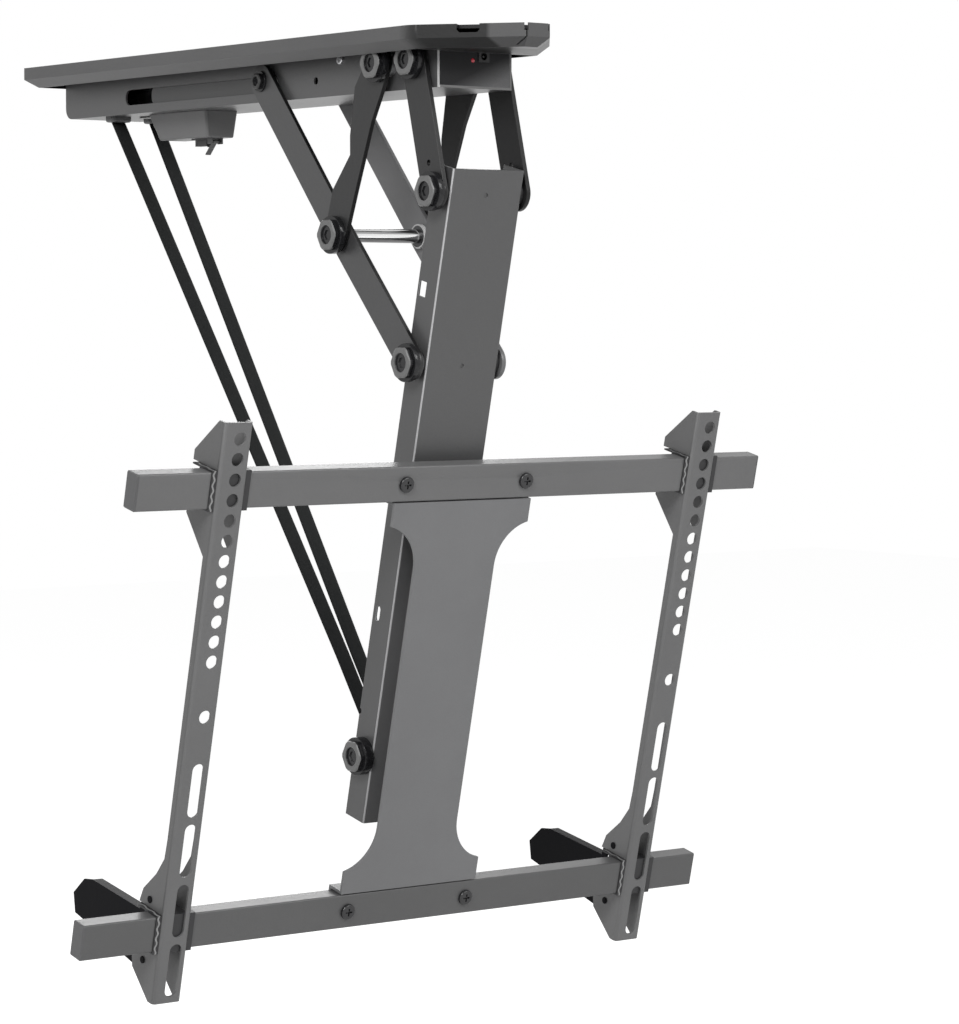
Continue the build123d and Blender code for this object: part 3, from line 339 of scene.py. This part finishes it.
def end_plate_finish(name):
    """Front plate: near black as painted shade where the cover shades it, and greyer towards its
    lower corner as a painted reflection.
    """
    f = Finish(name, BLACK, 0.4)
    # The grey wedge towards the lower corner is a painted reflection over the painted shade.
    slope = f.math("SUBTRACT", f.math("MULTIPLY", f.place("X"), WEDGE_SLOPE), f.place("Z"))
    wedge = f.contrast(f.math("MULTIPLY", slope, WEDGE_SPREAD), 0.55, 0.85)
    speckle = f.noise(1200.0, 2.0)
    deep = f.mix(speckle, (0.006, 0.006, 0.007), (0.012, 0.012, 0.013))
    wear_and_painted_light = f.mix(speckle, (0.075, 0.075, 0.077), (0.115, 0.115, 0.117))
    f.put("Base Color", f.mix(wedge, deep, wear_and_painted_light))
    f.rough(speckle, 0.36, 0.5)
    f.bump(speckle, 0.08, 0.0005)
    f.put("Specular IOR Level", 0.2)
    return f.mat


def moulded(name, colour, rough=0.5, scale=900.0):
    """Moulded plastic: spark-eroded grain with slightly polished high spots."""
    f = Finish(name, colour, rough)
    grain = f.voronoi(scale)
    f.put("Base Color", f.mottled(f.noise(24.0, 3.0), colour, 0.8, 1.25))
    f.rough(grain, rough - 0.10, rough + 0.08)
    f.bump(grain, 0.16, 0.0004)
    return f.mat


def plated(name, colour, rough=0.3, spangle=160.0):
    """Zinc plate: soft spangle and fine drawing lines."""
    f = Finish(name, colour, rough, metal=1.0)
    cells = f.voronoi(spangle)
    lines = f.noise(60.0, 3.0, 0.6, f.stretched((1.0, 14.0, 14.0)))
    f.put("Base Color", f.mottled(cells, colour, 0.85, 1.1))
    both = f.math("MULTIPLY", f.math("ADD", cells, lines), 0.5)
    f.rough(both, rough - 0.1, rough + 0.16)
    f.bump(lines, 0.12, 0.0003)
    return f.mat


def polished(name, colour):
    """Chromed shaft: painted reflections in bands of tone up its side, faint turning marks and
    smears.
    """
    f = Finish(name, colour, 0.08, metal=1.0)
    smear = f.noise(30.0, 4.0, 0.6, f.stretched((1.0, 3.0, 3.0)))
    # Bands of tone by height up the shaft are painted reflections.
    above = f.math("SUBTRACT", f.place("Z"), MID_PIVOT_Z - MID_SHAFT_R)
    height = f.math("MULTIPLY", above, 1 / (2 * MID_SHAFT_R))
    painted_reflection_bands = f.ramp(height, (0.20, grey(0.06)), (0.34, grey(0.80)), (0.55, grey(0.85)),
                   (0.66, grey(0.16)), (0.80, grey(0.60)))
    f.put("Base Color", f.mix(f.math("MULTIPLY", smear, 0.3), painted_reflection_bands, shade(colour, 0.93)))
    f.rough(smear, 0.05, 0.16)
    f.bump(f.wave(900.0, "X", distortion=1.0), 0.02, 0.0001)
    return f.mat


def webbing(name, colour):
    """Woven nylon strap: ribs across, warp threads along and loose fibres."""
    f = Finish(name, colour, 0.75)
    weft = f.wave(1.0, "Y", f.stretched((1.0, WEFT_RIBS, 1.0), "UV"))
    warp = f.wave(1.0, "X", f.stretched((WARP_THREADS, 1.0, 1.0), "UV"))
    fibres = f.noise(1.0, 3.0, 0.7, f.stretched(FIBRE_SCALE, "UV"))
    weave = f.math("ADD", f.math("MULTIPLY", weft, 0.6), f.math("MULTIPLY", warp, 0.4))
    level = f.math("ADD", f.math("MULTIPLY", weave, 0.8), f.math("MULTIPLY", fibres, 0.3))
    f.put("Base Color", f.ramp(level, (0.15, shade(colour, 0.45)), (0.95, shade(colour, 1.7))))
    f.rough(fibres, 0.6, 0.85)
    f.bump(weave, 0.5, 0.0005)
    f.bump(fibres, 0.25, 0.0002)
    f.put("Specular IOR Level", 0.15)
    f.put("Sheen Weight", 0.03)
    f.put("Sheen Roughness", 0.5)
    return f.mat


def cap_finish(name, face, crown, crown_ahead=None, split_y=0.0):
    """Black bolt cap whose face is ground bright further from the middle than crown; its sockets,
    nearer the middle, stay black as painted shade.

    Ahead of split_y the limit is crown_ahead, where that is given.
    """
    f = Finish(name, BLACK, 0.22)
    limit = crown
    if crown_ahead:
        ahead = f.math("LESS_THAN", f.place("Y"), split_y)
        limit = f.math("SUBTRACT", crown, f.math("MULTIPLY", ahead, crown - crown_ahead))
    # Nearer the middle than the limit the cap is black: its washers, and its sockets, where the
    # black is painted shade.
    out = f.math("GREATER_THAN", f.reach("X"), limit)
    speckle = f.noise(700.0, 2.0)
    light = f.mottled(speckle, face, 0.8, 1.2)
    deep = f.mottled(speckle, BLACK, 0.8, 1.3)
    f.put("Base Color", f.mix(out, deep, light))
    wear_and_painted_light = f.math("MAXIMUM", f.math("MULTIPLY", out, 0.8), f.math("MULTIPLY", speckle, 0.4))
    f.rough(wear_and_painted_light, 0.14, 0.42)
    f.bump(speckle, 0.06, 0.0003)
    f.put("Specular IOR Level", 0.3)
    return f.mat


def bush_finish(name):
    """Flanged bush painted near black as shade over its face, with a grey painted highlight on its
    rim.
    """
    f = Finish(name, BLACK, 0.35)
    off_y = f.math("SUBTRACT", f.place("Y"), MID_PIVOT_Y)
    off_z = f.math("SUBTRACT", f.place("Z"), MID_PIVOT_Z)
    squares = f.math("ADD", f.math("MULTIPLY", off_y, off_y), f.math("MULTIPLY", off_z, off_z))
    # The rim beyond BUSH_RIM_R is a painted highlight, and the face within it painted shade.
    painted_highlight_rim = f.math("GREATER_THAN", f.math("SQRT", squares), BUSH_RIM_R)
    grain = f.noise(900.0, 2.0)
    f.put("Base Color", f.mix(painted_highlight_rim, f.mottled(grain, BLACK, 0.8, 1.5),
                              f.mix(grain, grey(0.34), grey(0.48))))
    f.rough(grain, 0.25, 0.4)
    f.bump(grain, 0.06, 0.0003)
    return f.mat


def liner_finish(name, rail_x):
    """Black moulded sleeve with a wavy grey grip bead along its left edge."""
    f = Finish(name, BLACK, 0.5)
    run = f.math("SUBTRACT", f.place("Z"), f.place("Y"))
    wave = f.math("SINE", f.math("MULTIPLY", run, BEAD_WAVES))
    swing = f.math("MULTIPLY", wave, BEAD_SWING)
    off = f.math("SUBTRACT", f.math("SUBTRACT", f.place("X"), rail_x - BEAD_OFFSET), swing)
    bead = f.math("LESS_THAN", f.math("ABSOLUTE", off), BEAD_HALF)
    grain = f.noise(800.0, 2.0)
    f.put("Base Color", f.mix(bead, f.mottled(grain, BLACK, 0.7, 1.3),
                              f.mix(grain, grey(0.16), grey(0.26))))
    f.rough(grain, 0.4, 0.6)
    f.bump(bead, 0.5, 0.0006)
    f.bump(grain, 0.1, 0.0003)
    return f.mat


def slide_finish(name):
    """Slide bar: dark coated steel with a pale tip behind the front of the slot, painted light
    that stands in for the bright backdrop seen through the slots.
    """
    f = Finish(name, LINK, 0.4)
    # The pale tip is painted light, where the backdrop would show through the slots.
    painted_light_tip = f.math("LESS_THAN", f.place("Y"), SLIDE_TIP_Y)
    grain = f.noise(900.0, 2.0)
    f.put("Base Color", f.mix(painted_light_tip, f.mottled(grain, LINK, 0.7, 1.1),
                              f.mix(grain, (0.62, 0.62, 0.60), (0.74, 0.74, 0.72))))
    f.rough(grain, 0.35, 0.5)
    f.bump(grain, 0.08, 0.0004)
    return f.mat


def circuit(name):
    """Green solder mask with fine tracks; parts that hang below it are dark."""
    f = Finish(name, (0.01, 0.09, 0.03), 0.35)
    tracks = f.voronoi(210.0, feature="DISTANCE_TO_EDGE")
    lines = f.ramp(tracks, (0.03, (0.03, 0.22, 0.08)), (0.08, (0.008, 0.07, 0.025)))
    low = f.math("LESS_THAN", f.place("Z"), BOARD_UNDERSIDE_Z)
    f.put("Base Color", f.mix(low, lines, (0.012, 0.012, 0.014)))
    f.bump(tracks, 0.2, 0.0002)
    return f.mat


def lens(name):
    """Red lens with a faint mottled glow under a clear coat."""
    f = Finish(name, (0.35, 0.012, 0.024), 0.2)
    glow = f.noise(500.0, 2.0)
    f.put("Base Color", f.mix(glow, (0.25, 0.008, 0.015), (0.45, 0.02, 0.04)))
    f.put("Emission Color", f.mix(glow, (0.5, 0.005, 0.02), (0.9, 0.02, 0.06)))
    f.put("Emission Strength", 0.12)
    f.put("Coat Weight", 0.5)
    return f.mat


def dress(finish, *names):
    """Gives CAD nodes their material."""
    for name in names:
        mesh = NODES[name].data
        mesh.materials.clear()
        mesh.materials.append(finish)


# Ceiling unit
dress(powder_coat("cover_coat", (0.092, 0.092, 0.093), 0.36, shine=0.22,
                  patches=[(NOSE_PAINTED_SHADE, 0.10), (NOSE_LIP, 0.75)]), "ceiling_cover")
dress(channel_finish("channel_coat", (0.060, 0.060, 0.061)), "channel")
# The ceiling plate takes the same finish, with its painted shade and painted reflection.
dress(end_plate_finish("end_plate_coat"), "channel_end_plate", "ceiling_plate")
dress(powder_coat("box_coat", (0.115, 0.115, 0.116), 0.38, patches=[(BOX_FRONT_PAINTED_SHADE, 0.62)]),
      "switch_box")
dress(circuit("circuit_board"), "control_board")
dress(lens("red_lens"), "power_lamp_lens")
dress(plated("motor_can", (0.42, 0.42, 0.43), 0.35, 90.0), "winch_motor", "winch_gearbox")
dress(plated("sintered_bronze", (0.50, 0.33, 0.15), 0.45, 500.0), "drum_bearings")

# Linkage
dress(powder_coat("arm_coat", (0.128, 0.128, 0.130), 0.38,
                  patches=[(ARM_TOP_PAINTED_SHADOW, 0.47), (ARM_FLANGE_PAINTED_SHADE, 0.46), (ARM_EDGE_PAINTED_HIGHLIGHT, 2.6)]),
      "arm_channel")
dress(powder_coat("link_coat", LINK, 0.36, patches=[(LINK_EDGE_PAINTED_SHADE, 0.08)]), "long_link_left")
# The links take lit and shaded copies of one coat: painted shade on the front link and near
# rocker, painted light on the far long link, and deeper painted shade on the far rocker and far
# front link.
dress(powder_coat("link_front_painted_shade", shade(LINK, 0.5), 0.36, shine=0.3,
                  patches=[(LINK_EDGE_PAINTED_SHADE, 0.2)]), "front_link_left")
dress(powder_coat("link_near_painted_shade", shade(LINK, 0.5), 0.36, shine=0.3,
                  patches=[(ROCKER_EDGE_PAINTED_SHADE, 0.2)]), "rocker_left")
dress(powder_coat("link_far_painted_light", shade(LINK, 2.7), 0.36), "long_link_right")
dress(powder_coat("link_back_painted_shade", shade(LINK, 0.3), 0.4, shine=0.2),
      "rocker_right", "front_link_right")
dress(slide_finish("slide_bar"), "slide_bars")
dress(bush_finish("shaft_bush"), "mid_bushes")
dress(polished("chrome", (0.80, 0.80, 0.81)), "mid_shaft")

# Screen frame
dress(powder_coat("screen_plate_coat", (0.130, 0.131, 0.134), 0.42), "screen_plate", "plate_posts")
dress(powder_coat("frame_coat", COAT, 0.38), "upper_tube", "rail_right")
# The lower tube takes a darker copy of the frame coat as painted shade.
dress(powder_coat("frame_low_painted_shade", shade(COAT, 0.66), 0.38), "lower_tube")
dress(powder_coat("rail_left_coat", COAT, 0.38, patches=[(RAIL_SIDE_PAINTED_SHADE, 0.76)]), "rail_left")
dress(powder_coat("claw_coat", (0.005, 0.005, 0.006), 0.5, shine=0.04),
      "rail_claw_left", "rail_claw_right")
dress(liner_finish("liner_left", RAIL_LEFT_X), "rail_liners_left")
dress(liner_finish("liner_right", RAIL_RIGHT_X), "rail_liners_right")

# Small pieces that share a finish
dress(moulded("black_plastic", BLACK, 0.42), "dc_jack", "motor_saddles", "slide_tracks",
      "limit_switch", "arm_bosses", "axle_spacers", "strap_roller")
dress(powder_coat("end_cap_plastic", (0.070, 0.070, 0.072), 0.45), "tube_end_caps", "strap_guides")
dress(powder_coat("lever_dark", (0.050, 0.050, 0.051), 0.4), "lever_bracket", "limit_lever")
dress(plated("zinc_plate", (0.55, 0.55, 0.56)), "cover_clips", "channel_screws", "board_posts",
      "ceiling_pivot_spacers", "drum_bearing_plates", "winch_drum", "arm_nuts", "strap_axle")
dress(moulded("screw_black", (0.010, 0.010, 0.011), 0.22, 600.0), "tube_screws")

# Bolt caps, with the distance from the middle beyond which each cap's face lies
dress(cap_finish("cap_channel", CAP_FACE, 0.0585, 0.0535, -0.2767), "ceiling_pivot_bolts")
dress(cap_finish("cap_mid", CAP_FACE, 0.0582), "mid_cap_bolts")
dress(cap_finish("cap_arm", CAP_FACE, 0.0532), "arm_pivot_bolts", "front_link_bolts")
dress(cap_finish("cap_axle", CAP_FACE, 0.0485), "axle_cap_bolts")
dress(cap_finish("cap_slide", (0.03, 0.03, 0.03), 0.0495), "slide_pins")

WEB = webbing("webbing", (0.009, 0.010, 0.010))


# ---------------------------------------------------------------- edges
WELD_DISTANCE = 0.00001
FLAT_ANGLE = math.radians(0.5)
SHARP_ANGLE = math.radians(35)

# Node names by the width of their edges' rounding, in metres
EDGES = {
    0.0008: ["ceiling_cover", "arm_channel", "screen_plate", "channel", "switch_box"],
    0.0005: ["ceiling_pivot_bolts", "mid_cap_bolts", "front_link_bolts", "arm_pivot_bolts",
             "axle_cap_bolts", "upper_tube", "lower_tube", "slide_pins", "strap_guides"],
    0.0004: ["rail_left", "rail_right", "rocker_left", "rocker_right", "long_link_left",
             "long_link_right", "front_link_left", "front_link_right",
             "rail_claw_left", "rail_claw_right"],
}


def soften(name, width):
    """Rounds a piece's sharp edges so that they catch the light."""
    modifiers = NODES[name].modifiers
    weld = modifiers.new("weld", "WELD")
    weld.merge_threshold = WELD_DISTANCE
    flat = modifiers.new("flat", "DECIMATE")
    flat.decimate_type = "DISSOLVE"
    flat.angle_limit = FLAT_ANGLE
    bevel = modifiers.new("edge", "BEVEL")
    bevel.width = width
    bevel.segments = 2
    bevel.limit_method = "ANGLE"
    bevel.angle_limit = SHARP_ANGLE
    bevel.use_clamp_overlap = True
    bevel.harden_normals = True


for width, names in EDGES.items():
    for name in names:
        soften(name, width)


# ---------------------------------------------------------------- straps
def band_section():
    """Points round the band's section: across, out of it, and the place in the weave."""
    half, thick = STRAP_W / 2, STRAP_T / 2
    upper = []
    for i in range(BAND_COLUMNS + 1):
        s = -1 + 2 * i / BAND_COLUMNS
        crown = math.sqrt(max(0.0, 1 - abs(s) ** SELVEDGE_POWER))
        upper.append((s * half, thick * crown, (s + 1) / 2))
    return upper + [(x, -z, u) for x, z, u in reversed(upper[1:-1])]


def band_mesh(name, centres, closed):
    """Mesh of a band along a row of points, with the weave's coordinates as its UV map."""
    section = band_section()
    bm = bmesh.new()
    weave = bm.loops.layers.uv.new("UVMap")
    last = len(centres) - 1
    rows, marks, run = [], [], 0.0
    for r, centre in enumerate(centres):
        before = centres[r - 1] if r or closed else centre
        after = centres[(r + 1) % len(centres)] if r < last or closed else centre
        ahead = after - before
        out = Vector((0.0, -ahead.z, ahead.y)).normalized()
        run += (centre - centres[r - 1]).length if r else 0.0
        marks.append(run / WEAVE_LENGTH)
        rows.append([bm.verts.new(centre + Vector((x, 0, 0)) + out * z) for x, z, u in section])
    if closed:
        rows.append(rows[0])
        marks.append((run + (centres[0] - centres[-1]).length) / WEAVE_LENGTH)
    count = len(section)
    for r in range(len(rows) - 1):
        for i in range(count):
            j = (i + 1) % count
            face = bm.faces.new((rows[r][i], rows[r][j], rows[r + 1][j], rows[r + 1][i]))
            face.smooth = True
            for loop, (k, t) in zip(face.loops, ((i, r), (j, r), (j, r + 1), (i, r + 1))):
                loop[weave].uv = (section[k][2], marks[t])
    if not closed:
        bm.faces.new(rows[0])
        bm.faces.new(rows[-1])
    bmesh.ops.recalc_face_normals(bm, faces=bm.faces)
    mesh = bpy.data.meshes.new(name)
    bm.to_mesh(mesh)
    bm.free()
    return mesh


def band(name, node, body, centres, closed=False):
    """Woven band on a body, in place of a CAD node's plain solids."""
    made = bpy.data.objects.new(name, band_mesh(name, centres, closed))
    scene.collection.objects.link(made)
    made.data.materials.append(WEB)
    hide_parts(node)
    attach(made, body)
    return made


def free_run(side, name):
    """Free run of one strap, from its guide to the rear of the roller."""
    path_r = ROLLER_R + STRAP_T / 2 + STRAP_GAP + STRAP_T
    run = AXLE - GUIDE
    distance = math.hypot(run.y, run.z)
    turn = math.atan2(run.z, run.y) + math.asin(path_r / distance)
    length = math.sqrt(distance ** 2 - path_r ** 2)
    ahead = Vector((0.0, math.cos(turn), math.sin(turn)))
    top = GUIDE + Vector((side * STRAP_TOP_X, 0, 0))
    inward = Vector((side * (STRAP_BOTTOM_X - STRAP_TOP_X), 0, 0))
    centres = []
    for r in range(RUN_ROWS + 1):
        t = r / RUN_ROWS
        centres.append(top + ahead * (length * t) + inward * min(1.0, t / SLANT_SHARE))
    strap = band(name, "strap_runs", "straps", centres)
    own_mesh(strap)


def on_circle(centre, x, radius, angle):
    return Vector((x, centre.y + radius * math.cos(angle), centre.z + radius * math.sin(angle)))


def turn_on_roller(side):
    """Points of one strap's single turn round the roller."""
    radius = ROLLER_R + SNUG_FIT + STRAP_T / 2
    return [on_circle(AXLE, side * STRAP_BOTTOM_X, radius, math.tau * i / TURN_ROWS)
            for i in range(TURN_ROWS)]


def winding_on_drum(side):
    """Points of one strap's spiral on the drum, which ends at the drum's lowest side."""
    inner, outer = CORE_R + SNUG_FIT + STRAP_T / 2, COIL_R - STRAP_T / 2
    turns = (outer - inner) / (STRAP_T + WOUND_GAP)
    steps = int(turns * TURN_ROWS)
    spiral = []
    for i in range(steps + 1):
        t = i / steps
        angle = -math.pi / 2 - math.tau * turns * (1 - t)
        spiral.append(on_circle(DRUM, side * STRAP_TOP_X, inner + (outer - inner) * t, angle))
    return spiral


def lead_to_guide(side):
    """Points of one strap's lead: off the drum, round a corner and down to the guide."""
    x = side * STRAP_TOP_X
    start = Vector((x, DRUM.y, DRUM.z - COIL_R - STRAP_GAP - STRAP_T / 2))
    corner = Vector((x, GUIDE.y, LEAD_CORNER_Z))
    end = Vector((x, GUIDE.y, GUIDE.z + STRAP_T))
    into = start.lerp(corner, 1 - LEAD_BEND / (corner - start).length)
    leave = corner.lerp(end, min(BEND_SHARE, LEAD_BEND / (end - corner).length))
    lead = [start.lerp(into, i / LEAD_ROWS) for i in range(LEAD_ROWS)]
    for i in range(BEND_ROWS + 1):
        t = i / BEND_ROWS
        lead.append(into.lerp(corner, t).lerp(corner.lerp(leave, t), t))
    return lead + [leave.lerp(end, i / END_ROWS) for i in range(1, END_ROWS + 1)]


for side, suffix in ((-1, "left"), (1, "right")):
    free_run(side, "strap_" + suffix)
    band("strap_turn_" + suffix, "strap_wraps", "roller", turn_on_roller(side), closed=True)
    band("strap_winding_" + suffix, "strap_coils", "drum", winding_on_drum(side))
    band("strap_lead_" + suffix, "strap_leads", "ceiling_unit", lead_to_guide(side))


# ---------------------------------------------------------------- stage
FLOOR_Z = -1.25
FLOOR_HALF = 9
FLOOR_TONE = 0.8
NEAR_FLOOR, FAR_FLOOR = 1.6, 3.6
NEAR_GLOW, FAR_GLOW = 0.30, 0.66
SKY_LIGHT, SKY_SEEN = 0.40, 1.0
CENTRE = (0.0, -0.1, -0.4)

# Camera fitted to the straight edges and hole rows of the photograph
CAMERA_PLACE = (-1.75436, -2.63424, -0.23768)
CAMERA_AHEAD = (0.6047, 0.7946, -0.0541)
CAMERA_LENS = 124.02
SENSOR_W = 36.0

scene.view_settings.view_transform = "Standard"


def seen_plainly(graph):
    """1 for camera, mirror and glass rays, and 0 for the rays that light the object."""
    path = graph.node("ShaderNodeLightPath")
    value = path.outputs["Is Camera Ray"]
    for ray in ("Is Glossy Ray", "Is Transmission Ray"):
        value = graph.math("MAXIMUM", value, path.outputs[ray])
    return value


def pale_floor(name):
    """Pale matt floor whose glow, seen but casting no light, grows away from the middle."""
    mat = bpy.data.materials.new(name)
    mat.use_nodes = True
    graph = Graph(mat.node_tree)
    graph.nodes.clear()
    coord = graph.node("ShaderNodeTexCoord")
    away = graph.node("ShaderNodeVectorMath", {0: coord.outputs["Object"]}, operation="LENGTH")
    level = graph.remap(away.outputs["Value"], (NEAR_FLOOR, FAR_FLOOR), (NEAR_GLOW, FAR_GLOW))
    strength = graph.math("MULTIPLY", level, seen_plainly(graph))
    glow = graph.node("ShaderNodeEmission", {"Color": WHITE, "Strength": strength})
    matt = graph.node("ShaderNodeBsdfDiffuse", {"Color": grey(FLOOR_TONE)})
    both = graph.node("ShaderNodeAddShader", {0: matt.outputs[0], 1: glow.outputs[0]})
    graph.node("ShaderNodeOutputMaterial", {"Surface": both.outputs[0]})
    return mat


floor_mesh = bpy.data.meshes.new("floor")
floor_mesh.from_pydata([(x * FLOOR_HALF, y * FLOOR_HALF, FLOOR_Z)
                        for x, y in ((-1, -1), (1, -1), (1, 1), (-1, 1))], [], [(0, 1, 2, 3)])
floor_mesh.materials.append(pale_floor("pale_stage"))
floor = bpy.data.objects.new("floor", floor_mesh)
scene.collection.objects.link(floor)

world = bpy.data.worlds.new("studio")
scene.world = world
world.use_nodes = True
sky = Graph(world.node_tree)
background = sky.nodes["Background"]
sky.feed(background.inputs["Color"], WHITE)
sky.feed(background.inputs["Strength"],
         sky.remap(seen_plainly(sky), wanted=(SKY_LIGHT, SKY_SEEN)))


def softbox(name, place, target, size, power):
    light = bpy.data.lights.new(name, "AREA")
    light.shape = "RECTANGLE"
    light.size, light.size_y = size
    light.energy = power
    made = bpy.data.objects.new(name, light)
    made.location = place
    made.rotation_euler = (Vector(target) - Vector(place)).to_track_quat("-Z", "Y").to_euler()
    scene.collection.objects.link(made)


softbox("key", (-2.4, -1.9, 1.35), CENTRE, (1.3, 1.3), 85)
softbox("front", (0.9, -3.0, 1.1), CENTRE, (1.6, 1.2), 45)
softbox("painted_highlight_rim", (1.4, 2.4, 0.6), CENTRE, (1.4, 1.4), 30)

camera_data = bpy.data.cameras.new("camera")
camera_data.sensor_width = SENSOR_W
camera_data.lens = CAMERA_LENS
camera_data.clip_start = 0.05
camera_data.clip_end = 60.0
camera = bpy.data.objects.new("camera", camera_data)
scene.collection.objects.link(camera)
camera.location = CAMERA_PLACE
forward = Vector(CAMERA_AHEAD).normalized()
camera.rotation_euler = forward.to_track_quat("-Z", "Y").to_euler()
scene.camera = camera

bpy.context.view_layer.update()
